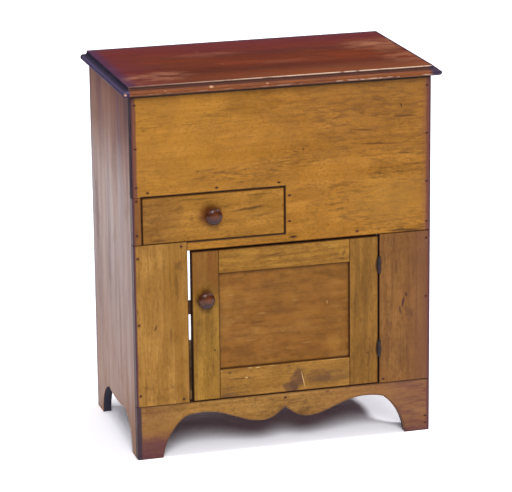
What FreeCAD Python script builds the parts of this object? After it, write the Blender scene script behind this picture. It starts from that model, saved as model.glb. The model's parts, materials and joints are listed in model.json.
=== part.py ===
import FreeCAD, Part

import math
import os

import Sketcher

# Lift-top dry sink cabinet in country pine: a stepped well under a moulded lid,
# one drawer and a frame-and-panel door.
# Millimetres. X runs along the front to the right, Y from front to back, Z up. The
# origin lies on the floor under the middle of the lid. Places are counted from the
# front left corner of the case, and CORNER moves them to that origin.

doc = FreeCAD.newDocument("dry_sink_cabinet")

# ---------------------------------------------------------------- driving sizes

SIZES = [
    ("case_width", 700, "length of the front, over the two sides"),
    ("case_depth", 411, "front face to back face"),
    ("case_height", 849, "floor to the underside of the lid"),
    ("front_thickness", 20, "front boards, stiles and skirt"),
    ("side_thickness", 20, "the two sides"),
    ("floor_thickness", 20, "floors and the partition of the well"),
    ("back_thickness", 16, "boards behind the well"),
    ("housing_depth", 6, "depth of the housings that hold the floors in the sides"),
    ("rabbet_width", 10, "rabbet for the back boards, taken off each side"),
    ("board_gap", 1, "open joint between the two back boards"),
    ("back_joint_rise", 31, "top of the shallow floor to that joint"),
    ("skirt_height", 126.5, "floor to the sill of the door"),
    ("door_opening_height", 358.5, "sill of the door to the front board"),
    ("drawer_rail_height", 21.5, "tongue of the front board under the drawer"),
    ("drawer_opening_height", 110, "opening for the drawer"),
    ("drawer_opening_width", 333, "opening for the drawer"),
    ("strip_width", 20.5, "upright strip at the left of the drawer"),
    ("partition_set_back", 0.5, "partition behind the edge of the drawer opening"),
    ("left_stile_width", 124.5, "fixed stile at the left of the door"),
    ("right_stile_width", 122.5, "fixed stile at the right of the door"),
    ("bearer_height", 22, "batten under the cupboard floor, behind the skirt"),
    ("bearer_depth", 20, "batten under the cupboard floor, front to back"),
    # outline of the skirt
    ("foot_width", 60, "front foot on the floor"),
    ("foot_cusp_width", 114, "end of the skirt to the cusp over the foot"),
    ("foot_cusp_height", 94.5, "floor to the cusp over the foot"),
    ("foot_cove_radius", 135, "hollow side of the foot"),
    ("hump_radius", 153, "arch between the foot and the drop"),
    ("hump_end_width", 208, "end of the skirt to the end of the arch"),
    ("hump_end_height", 90.5, "floor to the end of the arch"),
    ("drop_start_offset", 95, "middle of the skirt to the start of the drop"),
    ("drop_start_height", 73, "floor to the start of the drop"),
    ("drop_offset", 57, "middle of the skirt to the lowest point"),
    ("drop_height", 66, "floor to the lowest point"),
    ("drop_long_radius", 115, "drop, outer curve"),
    ("drop_short_radius", 60, "drop, inner curve"),
    ("drop_end_offset", 24, "middle of the skirt to the end of the drop"),
    ("drop_end_height", 74.5, "floor to the end of the drop"),
    ("point_height", 93, "floor to the pointed notch in the middle"),
    # outline of the sides
    ("side_foot_width", 57, "foot of a side on the floor, from the face of the case"),
    ("side_cusp_width", 130, "face of the case to the cusp over the foot"),
    ("side_cusp_height", 86, "floor to the cusp"),
    ("side_cove_radius", 85, "hollow side of the foot"),
    ("side_crown_radius", 420, "shallow sag between the cusps"),
    # door
    ("door_thickness", 19.5, "door frame"),
    ("door_left_gap", 9.5, "shrinkage gap at the knob side"),
    ("door_top_gap", 4, "gap over the door"),
    ("door_bottom_gap", 2, "gap under the door"),
    ("lock_stile_width", 63, "door stile with the knob"),
    ("hinge_stile_width", 68, "door stile with the hinges"),
    ("door_top_rail_height", 55.5, "door rail"),
    ("door_bottom_rail_height", 68, "door rail"),
    ("panel_recess", 8, "face of the frame to the face of the panel"),
    ("panel_thickness", 10, "door panel in its middle"),
    ("panel_edge_thickness", 5.8, "door panel in its grooves"),
    ("panel_bevel_width", 26, "feathered margin on the back of the panel"),
    ("panel_play", 1.5, "room for the panel to swell in its grooves"),
    ("groove_width", 6, "groove and mortise in the door frame"),
    ("groove_depth", 9, "groove in the door frame"),
    ("tenon_length", 42, "tenons of the door rails"),
    ("stop_width", 38, "door stop behind the left stile"),
    ("stop_reach", 17.5, "door stop past the edge of the stile"),
    ("stop_height", 28, "door stop"),
    ("stop_depth", 20, "door stop, front to back"),
    # knobs and the turn latch
    ("knob_head_radius", 19.5, "turned knob"),
    ("knob_neck_radius", 10, "neck of the knob"),
    ("knob_neck_height", 11, "face of the wood to the head of the knob"),
    ("knob_rim_end", 19, "face of the wood to the end of the rim"),
    ("knob_length", 27, "face of the wood to the top of the knob"),
    ("knob_top_radius", 11, "flat top of the knob"),
    ("shank_radius", 6, "tenon of a knob"),
    ("spindle_play", 0.08, "knob spindle in the door"),
    ("drawer_knob_left", 183, "left end of the case to the drawer knob"),
    ("drawer_knob_up", 57.5, "bottom of the drawer opening to its knob"),
    ("door_knob_inset", 29, "left edge of the door to its knob"),
    ("door_knob_height", 370, "floor to the door knob"),
    ("latch_width", 24, "turn latch"),
    ("latch_reach", 50, "knob axis to the tip of the latch"),
    ("latch_thickness", 8, "turn latch"),
    ("latch_play", 1, "back of the door to the latch"),
    # drawer
    ("drawer_side_gap", 1.5, "gap at each end of the drawer front"),
    ("drawer_top_gap", 1.5, "gap over the drawer front"),
    ("drawer_bottom_gap", 0.5, "gap under the drawer"),
    ("drawer_front_thickness", 20, "drawer front"),
    ("drawer_side_thickness", 11, "drawer sides and back"),
    ("drawer_rear_gap", 25, "back of the drawer to the back boards"),
    ("drawer_top_drop", 3, "drawer sides below the top of the front"),
    ("drawer_bottom_thickness", 6, "drawer bottom"),
    ("drawer_bottom_up", 8, "edge of the drawer sides to the bottom"),
    ("drawer_groove", 5, "grooves for the drawer bottom"),
    ("drawer_housing", 3, "housings for the drawer back"),
    ("dovetail_lap", 6, "wood in front of the dovetails"),
    ("dovetail_half_pin", 6, "half pin above and below the tails"),
    ("dovetail_pin", 14, "pin between the two tails"),
    ("dovetail_flare", 2.5, "splay of a tail on each side"),
    ("drawer_stop_length", 26, "drawer stop"),
    ("drawer_stop_depth", 14, "drawer stop, front to back"),
    ("drawer_stop_height", 6, "drawer stop"),
    ("drawer_stop_inset", 60, "end of the drawer opening to a stop"),
    # lid
    ("lid_overhang", 20, "lid past the front and the ends"),
    ("lid_thickness", 22, "lid"),
    ("lid_nose_radius", 7, "half-round nose of the moulded edge"),
    ("lid_ledge", 4, "flat of the moulding above the nose"),
    ("lid_cove_radius", 4, "hollow of the moulding"),
    ("lid_arris_radius", 1.2, "eased arris of the lid"),
    # butt hinges, four alike
    ("hinge_length", 38, "butt hinge along its pin"),
    ("leaf_width", 18, "hinge pin to the edge of a leaf"),
    ("leaf_thickness", 1.8, "leaf"),
    ("hinge_play", 0.2, "half the gap between closed leaves"),
    ("knuckle_radius", 4.2, "knuckle"),
    ("knuckle_gap", 0.3, "clearance round and between knuckles"),
    ("pin_radius", 1.6, "hinge pin"),
    ("pin_play", 0.05, "pin in the moving knuckle"),
    ("screw_radius", 2.4, "screw, head and shank alike"),
    ("screw_length", 13, "screw"),
    ("upper_hinge_drop", 49, "top of the door to the upper hinge"),
    ("lower_hinge_rise", 65, "bottom of the door to the lower hinge"),
    ("lid_hinge_inset", 110, "end of the case to a lid hinge"),
    # cut nails
    ("nail_head_width", 6, "head of a cut nail"),
    ("nail_head_height", 3.4, "head of a cut nail"),
    ("nail_head_thickness", 1.3, "head of a cut nail"),
    ("nail_proud", 0.3, "head over the face of the wood"),
    ("nail_length", 40, "cut nail"),
    ("nail_width", 3, "shank under the head"),
    ("nail_tip", 1.4, "shank at its tip"),
    ("nail_inset", 9.5, "edge of the case to a row of nails"),
]

sheet = doc.addObject("Spreadsheet::Sheet", "sizes")
for row, (alias, number, meaning) in enumerate(SIZES, start=1):
    sheet.set(f"A{row}", alias)
    sheet.set(f"B{row}", str(number))
    sheet.setAlias(f"B{row}", alias)
    sheet.set(f"C{row}", meaning)
doc.recompute()


def value(text):
    """The number that an expression on the sheet's sizes gives now."""
    return float(sheet.evalExpression(text))


class Term(str):
    """An expression on the sheet, added and subtracted like a number."""

    def __add__(self, other):
        return Term(f"({self}) + ({other})")

    def __radd__(self, other):
        return Term(f"({other}) + ({self})")

    def __sub__(self, other):
        return Term(f"({self}) - ({other})")

    def __rsub__(self, other):
        return Term(f"({other}) - ({self})")

    def __mul__(self, other):
        return Term(f"({self}) * ({other})")

    def __truediv__(self, other):
        return Term(f"({self}) / ({other})")


class Sizes:
    """Each driving size as a term, by its name."""

    def __getattr__(self, alias):
        return Term(f"sizes.{alias}")


S = Sizes()
ZERO = Term("0")
CORNER = (ZERO - S.case_width / 2, (S.lid_overhang - S.case_depth) / 2)
OWN = (ZERO, ZERO)

# ------------------------------------------------------- places worked out once

DOOR_SILL = S.skirt_height
DOOR_HEAD = DOOR_SILL + S.door_opening_height
DRAWER_SILL = DOOR_HEAD + S.drawer_rail_height
DRAWER_HEAD = DRAWER_SILL + S.drawer_opening_height
DRAWER_LEFT = S.strip_width
DRAWER_RIGHT = DRAWER_LEFT + S.drawer_opening_width
RIGHT_SIDE = S.case_width - S.side_thickness
RIGHT_STILE = S.case_width - S.right_stile_width
BACK_FACE = S.case_depth - S.back_thickness
PARTITION_LEFT = DRAWER_RIGHT + S.partition_set_back
PARTITION_RIGHT = PARTITION_LEFT + S.floor_thickness
WELL_UNDERSIDE = DRAWER_SILL - S.floor_thickness

PARTS = []


def bind(thing, **sizes):
    """Ties properties of an object to expressions on the sheet."""
    for name, text in sizes.items():
        thing.setExpression(name, str(text))


def place(thing, x=ZERO, y=ZERO, z=ZERO, turn=None, base=CORNER):
    """Ties an object's place to the sheet, counted from base, and gives it a turn."""
    if turn is not None:
        thing.Placement = FreeCAD.Placement(FreeCAD.Vector(), turn)
    for axis, text in (("x", x + base[0]), ("y", y + base[1]), ("z", z)):
        thing.setExpression(f"Placement.Base.{axis}", str(text))


def part(thing, name):
    """Marks an object as a piece of the cabinet under its own name."""
    thing.Label = name
    PARTS.append(thing)
    return thing


def block(name, low, high, base=CORNER):
    """A squared block between two corners, each corner three terms."""
    box = doc.addObject("Part::Box", name)
    place(box, *low, base=base)
    for side, start, end in zip(("Length", "Width", "Height"), low, high):
        bind(box, **{side: end - start})
    return box


def fuse(name, pieces):
    joined = doc.addObject("Part::MultiFuse", name)
    joined.Shapes = pieces
    return joined


def group(name, pieces):
    """Separate solids kept together as one object."""
    gathered = doc.addObject("Part::Compound", name)
    gathered.Links = pieces
    return gathered


def cut(name, base, tools):
    """A piece with the shapes of its mating pieces, or of cutters, taken out."""
    result = doc.addObject("Part::Cut", name)
    result.Base = base
    result.Tool = tools[0] if len(tools) == 1 else fuse(f"{name}_waste", tools)
    return result


def copy_at(name, master, x, y, z, turn=None):
    """The master shape, shown once more at another place."""
    placed = group(name, [master])
    place(placed, x, y, z, turn)
    return placed


def origin_plane(body, role):
    return [item for item in body.Origin.OriginFeatures if item.Role == role][0]


def arc_between(start, end, radius, turn):
    """The arc from start to end that turns left or right, and which end it starts at."""
    chord = end - start
    left = FreeCAD.Vector(-chord.y, chord.x, 0).normalize()
    rise = math.sqrt(max(radius * radius - chord.Length ** 2 / 4, 0))
    side = 1 if turn == "left" else -1
    centre = (start + end) * 0.5 + left * rise * side
    first, last = (start, end) if turn == "left" else (end, start)
    begin = math.atan2(first.y - centre.y, first.x - centre.x)
    finish = math.atan2(last.y - centre.y, last.x - centre.x)
    if finish < begin:
        finish += 2 * math.pi
    circle = Part.Circle(centre, FreeCAD.Vector(0, 0, 1), radius)
    return Part.ArcOfCircle(circle, begin, finish)


def outline(body, name, role, corners):
    """A closed sketch on one of the body's origin planes.

    Each corner is (across, up) or (across, up, radius, turn): the last two make the
    line from that corner to the next an arc that turns left or right.
    """
    sketch = body.newObject("Sketcher::SketchObject", name)
    sketch.AttachmentSupport = [(origin_plane(body, role), "")]
    sketch.MapMode = "FlatFace"
    points = [FreeCAD.Vector(value(corner[0]), value(corner[1]), 0) for corner in corners]
    ends = []
    for number, corner in enumerate(corners):
        start = points[number]
        end = points[(number + 1) % len(points)]
        if len(corner) == 2:
            line = sketch.addGeometry(Part.LineSegment(start, end))
            ends.append((line, 1, 2))
            continue
        radius, turn = corner[2], corner[3]
        arc = sketch.addGeometry(arc_between(start, end, value(radius), turn))
        ends.append((arc, 1, 2) if turn == "left" else (arc, 2, 1))
    for number, corner in enumerate(corners):
        line, begins, _ = ends[number]
        before, _, finishes = ends[number - 1]
        sketch.addConstraint(Sketcher.Constraint("Coincident", before, finishes, line, begins))
        for kind, text, number_now in (
            ("DistanceX", corner[0], points[number].x),
            ("DistanceY", corner[1], points[number].y),
        ):
            place_at = sketch.addConstraint(
                Sketcher.Constraint(kind, -1, 1, line, begins, number_now)
            )
            sketch.setExpression(f"Constraints[{place_at}]", str(text))
        if len(corner) == 4:
            bend = sketch.addConstraint(Sketcher.Constraint("Radius", line, value(corner[2])))
            sketch.setExpression(f"Constraints[{bend}]", str(corner[2]))
    return sketch


def pad(name, role, corners, length, reverse=False):
    """A body that is one outline made solid along its plane's normal."""
    body = doc.addObject("PartDesign::Body", name)
    sketch = outline(body, f"{name}_outline", role, corners)
    feature = body.newObject("PartDesign::Pad", f"{name}_pad")
    feature.Profile = sketch
    feature.Reversed = reverse
    bind(feature, Length=length)
    sketch.Visibility = False
    return body


def turned(name, corners):
    """A body turned on the lathe: the outline runs (radius, height)."""
    body = doc.addObject("PartDesign::Body", name)
    sketch = outline(body, f"{name}_outline", "XZ_Plane", corners)
    feature = body.newObject("PartDesign::Revolution", f"{name}_turning")
    feature.Profile = sketch
    feature.ReferenceAxis = (sketch, ["V_Axis"])
    feature.Angle = 360
    sketch.Visibility = False
    return body


# ------------------------------------------------------------ floors of the case
# Each floor runs into housings in the sides and stops at the back boards.


def housed_floor(name, right, underside):
    low = (S.side_thickness - S.housing_depth, S.front_thickness, underside)
    high = (right, BACK_FACE, underside + S.floor_thickness)
    return part(block(name, low, high), name)


cupboard_floor = housed_floor("cupboard_floor", RIGHT_SIDE + S.housing_depth, DOOR_SILL)
deep_well_floor = housed_floor("deep_well_floor", RIGHT_SIDE + S.housing_depth, WELL_UNDERSIDE)
shallow_well_floor = housed_floor("shallow_well_floor", PARTITION_RIGHT, DRAWER_HEAD)

part(
    block(
        "well_partition",
        (PARTITION_LEFT, S.front_thickness, DRAWER_SILL),
        (PARTITION_RIGHT, BACK_FACE, DRAWER_HEAD),
    ),
    "well_partition",
)
part(
    block(
        "skirt_bearer",
        (S.side_thickness, S.front_thickness, DOOR_SILL - S.bearer_height),
        (RIGHT_SIDE, S.front_thickness + S.bearer_depth, DOOR_SILL),
    ),
    "skirt_bearer",
)

# ------------------------------------------------------------------------ sides
# One wide board each, sawn to two feet below and rabbeted behind for the back.


def side(name, left, inner_left, floors):
    rear_cusp = S.case_depth - S.side_cusp_width
    corners = [
        (S.front_thickness, ZERO),
        (S.side_foot_width, ZERO, S.side_cove_radius, "right"),
        (S.side_cusp_width, S.side_cusp_height, S.side_crown_radius, "left"),
        (rear_cusp, S.side_cusp_height, S.side_cove_radius, "right"),
        (S.case_depth - S.side_foot_width, ZERO),
        (S.case_depth, ZERO),
        (S.case_depth, S.case_height),
        (S.front_thickness, S.case_height),
    ]
    blank = pad(f"{name}_blank", "YZ_Plane", corners, S.side_thickness)
    place(blank, left)
    rabbet = block(
        f"{name}_rabbet",
        (inner_left, BACK_FACE, ZERO),
        (inner_left + S.rabbet_width, S.case_depth, S.case_height),
    )
    return part(cut(name, blank, floors + [rabbet]), name)


side(
    "side_left",
    ZERO,
    S.side_thickness - S.rabbet_width,
    [cupboard_floor, deep_well_floor, shallow_well_floor],
)
side("side_right", RIGHT_SIDE, RIGHT_SIDE, [cupboard_floor, deep_well_floor])

# ------------------------------------------------------------------------- back
# Two boards close the well. Under them the cupboard is open behind.

back_left = S.side_thickness - S.rabbet_width
back_right = RIGHT_SIDE + S.rabbet_width
shallow_floor_top = DRAWER_HEAD + S.floor_thickness
back_joint = shallow_floor_top + S.back_joint_rise


def hinge_gain(name, centre):
    """The shallow recess for one leaf in the top edge of the back."""
    reach = S.leaf_width - S.knuckle_radius - S.knuckle_gap
    sink = S.leaf_thickness + S.hinge_play
    return block(
        name,
        (centre - S.hinge_length / 2, S.case_depth - reach, S.case_height - sink),
        (centre + S.hinge_length / 2, S.case_depth, S.case_height),
    )


LID_HINGES = {"left": S.lid_hinge_inset, "right": S.case_width - S.lid_hinge_inset}

back_blank = block(
    "back_board_upper_blank",
    (back_left, BACK_FACE, back_joint + S.board_gap),
    (back_right, S.case_depth, S.case_height),
)
back_gains = [hinge_gain(f"back_gain_{hand}", x) for hand, x in LID_HINGES.items()]
part(cut("back_board_upper", back_blank, back_gains), "back_board_upper")
part(
    block(
        "back_board_lower",
        (back_left, BACK_FACE, WELL_UNDERSIDE),
        (back_right, S.case_depth, back_joint),
    ),
    "back_board_lower",
)

# ------------------------------------------------------------------ front boards
# All lie over the front edges of the sides and are nailed to them.

front_corners = [
    (S.left_stile_width, DOOR_HEAD),
    (S.case_width, DOOR_HEAD),
    (S.case_width, S.case_height),
    (ZERO, S.case_height),
    (ZERO, DRAWER_HEAD),
    (DRAWER_RIGHT, DRAWER_HEAD),
    (DRAWER_RIGHT, DRAWER_SILL),
    (S.left_stile_width, DRAWER_SILL),
]
front_board = pad("front_board", "XZ_Plane", front_corners, S.front_thickness, True)
place(front_board)
part(front_board, "front_board")


def front_block(name, left, bottom, right, top):
    low = (left, ZERO, bottom)
    high = (right, S.front_thickness, top)
    return part(block(name, low, high), name)


front_block("drawer_side_strip", ZERO, DRAWER_SILL, S.strip_width, DRAWER_HEAD)
front_block("stile_left", ZERO, DOOR_SILL, S.left_stile_width, DRAWER_SILL)
front_block("stile_right", RIGHT_STILE, DOOR_SILL, S.case_width, DOOR_HEAD)


def skirt_half(across):
    """Corners from one foot to the middle, measured by across(distance from the end)."""
    middle = S.case_width / 2
    return [
        (across(S.foot_width), ZERO, S.foot_cove_radius, "right"),
        (across(S.foot_cusp_width), S.foot_cusp_height, S.hump_radius, "right"),
        (across(S.hump_end_width), S.hump_end_height),
        (across(middle - S.drop_start_offset), S.drop_start_height, S.drop_long_radius, "left"),
        (across(middle - S.drop_offset), S.drop_height, S.drop_short_radius, "left"),
        (across(middle - S.drop_end_offset), S.drop_end_height),
    ]


def walked_back(corners):
    """The same outline walked the other way: each curve moves to its other end."""
    bends = [corner[2:] for corner in corners]
    walked = []
    for number in range(len(corners) - 1, -1, -1):
        bend = bends[number - 1] if number > 0 else ()
        walked.append(corners[number][:2] + bend)
    return walked


left_half = skirt_half(lambda distance: distance)
right_half = walked_back(skirt_half(lambda distance: S.case_width - distance))
skirt_corners = (
    [(ZERO, ZERO)]
    + left_half
    + [(S.case_width / 2, S.point_height)]
    + right_half
    + [(S.case_width, ZERO), (S.case_width, DOOR_SILL), (ZERO, DOOR_SILL)]
)
skirt = pad("skirt", "XZ_Plane", skirt_corners, S.front_thickness, True)
place(skirt)
part(skirt, "skirt")

# ------------------------------------------------------------------- butt hinges
# One hinge is drawn about its own pin: local Z along the pin, local Y into the joint,
# the fixed leaf on the +X side and the moving leaf on the -X side.

knuckle_length = (S.hinge_length - S.knuckle_gap * 2) / 3
leaf_root = S.knuckle_radius + S.knuckle_gap


def knuckle(name, bottom):
    drum = doc.addObject("Part::Cylinder", name)
    bind(drum, Radius=S.knuckle_radius, Height=knuckle_length)
    place(drum, z=bottom, base=OWN)
    return drum


def bore(name, radius):
    hole = doc.addObject("Part::Cylinder", name)
    bind(hole, Radius=radius, Height=S.hinge_length)
    return hole


def screw(name, height, hand):
    """A screw through a leaf, flush with it, driven along +X or -X."""
    shank = doc.addObject("Part::Cylinder", name)
    bind(shank, Radius=S.screw_radius, Height=S.screw_length)
    drive = FreeCAD.Rotation(FreeCAD.Vector(0, 1, 0), 90 * hand)
    face = S.hinge_play if hand > 0 else ZERO - S.hinge_play
    place(shank, face, (leaf_root + S.leaf_width) / 2, height, drive, OWN)
    return shank


def leaf(name, hand, knuckle_bottoms, hole_radius):
    """One leaf with its knuckles, bored for the pin, and its two screws."""
    inner = S.hinge_play if hand > 0 else ZERO - S.hinge_play - S.leaf_thickness
    outer = inner + S.leaf_thickness
    plate_low = (inner, leaf_root, ZERO)
    plate = block(f"{name}_plate", plate_low, (outer, S.leaf_width, S.hinge_length), OWN)
    solids = [plate]
    for number, bottom in enumerate(knuckle_bottoms):
        solids.append(knuckle(f"{name}_knuckle_{number}", bottom))
        web_low = (inner, ZERO, bottom)
        web_high = (outer, leaf_root, bottom + knuckle_length)
        solids.append(block(f"{name}_web_{number}", web_low, web_high, OWN))
    screws = [
        screw(f"{name}_screw_{number}", S.hinge_length * share, hand)
        for number, share in enumerate((0.22, 0.78))
    ]
    drilled = cut(name, fuse(f"{name}_blank", solids), [bore(f"{name}_bore", hole_radius)] + screws)
    return drilled, screws


upper_knuckle = S.hinge_length - knuckle_length
fixed_leaf, fixed_screws = leaf("fixed_leaf", 1, [ZERO, upper_knuckle], S.pin_radius)
moving_leaf, moving_screws = leaf(
    "moving_leaf", -1, [knuckle_length + S.knuckle_gap], S.pin_radius + S.pin_play
)
hinge_pin = bore("hinge_pin", S.pin_radius)
UPRIGHT = FreeCAD.Rotation()
LEVEL = FreeCAD.Rotation(
    FreeCAD.Vector(0, 0, -1), FreeCAD.Vector(0, -1, 0), FreeCAD.Vector(-1, 0, 0), "ZXY"
)


def hang(pair, moving_body, spots, turn):
    """Sets a pair of hinges, each with its pin's lower end on one of the spots."""
    pieces = {
        "case_leaves": [fixed_leaf],
        f"{moving_body}_leaves": [moving_leaf],
        "pins": [hinge_pin],
        "case_screws": fixed_screws,
        f"{moving_body}_screws": moving_screws,
    }
    for piece, masters in pieces.items():
        name = f"{pair}_{piece}"
        copies = []
        for spot in spots:
            for master in masters:
                copies.append(copy_at(f"{name}_{len(copies)}", master, *spot, turn))
        part(group(name, copies), name)


HINGE_CLOSED = (S.leaf_thickness + S.hinge_play) * 2
PIN_OUT = S.knuckle_radius + S.knuckle_gap
DOOR_LEFT = S.left_stile_width + S.door_left_gap
DOOR_RIGHT = RIGHT_STILE - HINGE_CLOSED
DOOR_BOTTOM = DOOR_SILL + S.door_bottom_gap
DOOR_TOP = DOOR_HEAD - S.door_top_gap
pin_x = RIGHT_STILE - HINGE_CLOSED / 2
upper_hinge = DOOR_TOP - S.upper_hinge_drop - S.hinge_length
lower_hinge = DOOR_BOTTOM + S.lower_hinge_rise
door_spots = [(pin_x, ZERO - PIN_OUT, bottom) for bottom in (upper_hinge, lower_hinge)]
hang("door_hinge", "door", door_spots, UPRIGHT)

lid_spots = [
    (centre + S.hinge_length / 2, S.case_depth + PIN_OUT, S.case_height)
    for centre in LID_HINGES.values()
]
hang("lid_hinge", "lid", lid_spots, LEVEL)

# -------------------------------------------------------------------------- lid
# One wide board. The same moulding is worked on the front and both ends and meets in
# mitres, so the board is what two long mouldings at right angles have in common.

lid_width = S.case_width + S.lid_overhang * 2
lid_depth = S.case_depth + S.lid_overhang
lid_margin = S.lid_nose_radius + S.lid_ledge + S.lid_cove_radius
nose_top = S.lid_nose_radius * 2
step_foot = nose_top + S.lid_cove_radius


def moulded_edge(across):
    """Corners from the top of the board, down its moulding, to the underside."""
    nose = S.lid_nose_radius
    return [
        (across(lid_margin + S.lid_arris_radius), S.lid_thickness, S.lid_arris_radius, "left"),
        (across(lid_margin), S.lid_thickness - S.lid_arris_radius),
        (across(lid_margin), step_foot, S.lid_cove_radius, "right"),
        (across(nose + S.lid_ledge), nose_top),
        (across(nose), nose_top, nose, "left"),
        (across(ZERO), nose, nose, "left"),
        (across(nose), ZERO),
    ]


front_section = moulded_edge(lambda distance: distance) + [
    (lid_depth, ZERO),
    (lid_depth, S.lid_thickness),
]
end_section = moulded_edge(lambda distance: distance) + walked_back(
    moulded_edge(lambda distance: lid_width - distance)
)
lid_left = ZERO - S.lid_overhang
lid_front = ZERO - S.lid_overhang
lid_along = pad("lid_front_moulding", "YZ_Plane", front_section, lid_width)
lid_across = pad("lid_end_mouldings", "XZ_Plane", end_section, lid_depth, True)
for form in (lid_along, lid_across):
    place(form, lid_left, lid_front, S.case_height)
lid_blank = doc.addObject("Part::Common", "lid_blank")
lid_blank.Base = lid_along
lid_blank.Tool = lid_across


def lid_gain(name, centre):
    """The shallow recess for one leaf in the underside of the lid."""
    reach = S.leaf_width - S.knuckle_radius - S.knuckle_gap
    sink = S.leaf_thickness + S.hinge_play
    return block(
        name,
        (centre - S.hinge_length / 2, S.case_depth - reach, S.case_height),
        (centre + S.hinge_length / 2, S.case_depth, S.case_height + sink),
    )


lid_gains = [lid_gain(f"lid_gain_{hand}", x) for hand, x in LID_HINGES.items()]
part(cut("lid_board", lid_blank, lid_gains), "lid_board")

# ------------------------------------------------------------------------- knobs
# Turned knobs with a tenon. The drawer's is glued; the door's turns with the latch.


def knob(name, tenon):
    corners = [
        (ZERO, ZERO),
        (S.shank_radius, ZERO),
        (S.shank_radius, tenon),
        (S.knob_neck_radius, tenon),
        (S.knob_neck_radius, tenon + S.knob_neck_height),
        (S.knob_head_radius, tenon + S.knob_neck_height),
        (S.knob_head_radius, tenon + S.knob_rim_end),
        (S.knob_top_radius, tenon + S.knob_length),
        (ZERO, tenon + S.knob_length),
    ]
    return turned(name, corners)


OUTWARD = FreeCAD.Rotation(FreeCAD.Vector(1, 0, 0), 90)
door_knob_x = DOOR_LEFT + S.door_knob_inset
drawer_knob_z = DRAWER_SILL + S.drawer_knob_up
latch_front = S.door_thickness + S.latch_play
spindle_end = latch_front + S.latch_thickness

drawer_knob = knob("drawer_knob", S.drawer_front_thickness)
place(drawer_knob, S.drawer_knob_left, S.drawer_front_thickness, drawer_knob_z, OUTWARD)
part(drawer_knob, "drawer_knob")
door_knob = knob("door_knob", spindle_end)
place(door_knob, door_knob_x, spindle_end, S.door_knob_height, OUTWARD)
part(door_knob, "door_knob")

# -------------------------------------------------------------------- turn latch
# A round-ended bar on the spindle behind the door. It points up, clear of the stile,
# and drops to the left onto the door stop to latch.

half_latch = S.latch_width / 2
latch_tip = S.latch_reach + half_latch
latch_corners = [
    (ZERO, half_latch, half_latch, "left"),
    (half_latch, ZERO, half_latch, "left"),
    (S.latch_width, half_latch),
    (S.latch_width, latch_tip - half_latch, half_latch, "left"),
    (half_latch, latch_tip, half_latch, "left"),
    (ZERO, latch_tip - half_latch),
]
latch_blank = pad("latch_blank", "XZ_Plane", latch_corners, S.latch_thickness, True)
place(latch_blank, door_knob_x - half_latch, latch_front, S.door_knob_height - half_latch)
latch_bore = doc.addObject("Part::Cylinder", "latch_bore")
bind(latch_bore, Radius=S.shank_radius, Height=S.latch_thickness)
place(latch_bore, door_knob_x, latch_front + S.latch_thickness, S.door_knob_height, OUTWARD)
part(cut("latch_bar", latch_blank, [latch_bore]), "latch_bar")

stop_top = S.door_knob_height - half_latch - S.latch_play / 2
part(
    block(
        "door_stop",
        (
            S.left_stile_width + S.stop_reach - S.stop_width,
            S.front_thickness,
            stop_top - S.stop_height,
        ),
        (S.left_stile_width + S.stop_reach, S.front_thickness + S.stop_depth, stop_top),
    ),
    "door_stop",
)

# -------------------------------------------------------------------------- door
# Rails are tenoned into the stiles, and the panel floats in grooves all round.

FRAME_LEFT = DOOR_LEFT + S.lock_stile_width
FRAME_RIGHT = DOOR_RIGHT - S.hinge_stile_width
FRAME_BOTTOM = DOOR_BOTTOM + S.door_bottom_rail_height
FRAME_TOP = DOOR_TOP - S.door_top_rail_height
groove_back = S.panel_recess + S.groove_width
grooves = block(
    "panel_grooves",
    (FRAME_LEFT - S.groove_depth, S.panel_recess, FRAME_BOTTOM - S.groove_depth),
    (FRAME_RIGHT + S.groove_depth, groove_back, FRAME_TOP + S.groove_depth),
)


def door_rail(name, bottom, top, tenon_bottom, tenon_top):
    rail = block(
        f"{name}_bar", (FRAME_LEFT, ZERO, bottom), (FRAME_RIGHT, S.door_thickness, top)
    )
    tenons = block(
        f"{name}_tenons",
        (FRAME_LEFT - S.tenon_length, S.panel_recess, tenon_bottom),
        (FRAME_RIGHT + S.tenon_length, groove_back, tenon_top),
    )
    return part(cut(name, fuse(f"{name}_blank", [rail, tenons]), [grooves]), name)


rail_top = door_rail(
    "door_rail_top",
    FRAME_TOP,
    DOOR_TOP,
    FRAME_TOP + S.groove_depth,
    DOOR_TOP - S.groove_depth,
)
rail_bottom = door_rail(
    "door_rail_bottom",
    DOOR_BOTTOM,
    FRAME_BOTTOM,
    DOOR_BOTTOM + S.groove_depth,
    FRAME_BOTTOM - S.groove_depth,
)
spindle_bore = doc.addObject("Part::Cylinder", "spindle_bore")
bind(spindle_bore, Radius=S.shank_radius + S.spindle_play, Height=S.door_thickness)
place(spindle_bore, door_knob_x, S.door_thickness, S.door_knob_height, OUTWARD)


def door_stile(name, left, right, cutters):
    blank = block(f"{name}_blank", (left, ZERO, DOOR_BOTTOM), (right, S.door_thickness, DOOR_TOP))
    return part(cut(name, blank, [rail_top, rail_bottom, grooves] + cutters), name)


door_stile("door_stile_left", DOOR_LEFT, FRAME_LEFT, [spindle_bore])
door_stile("door_stile_right", FRAME_RIGHT, DOOR_RIGHT, [])

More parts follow.
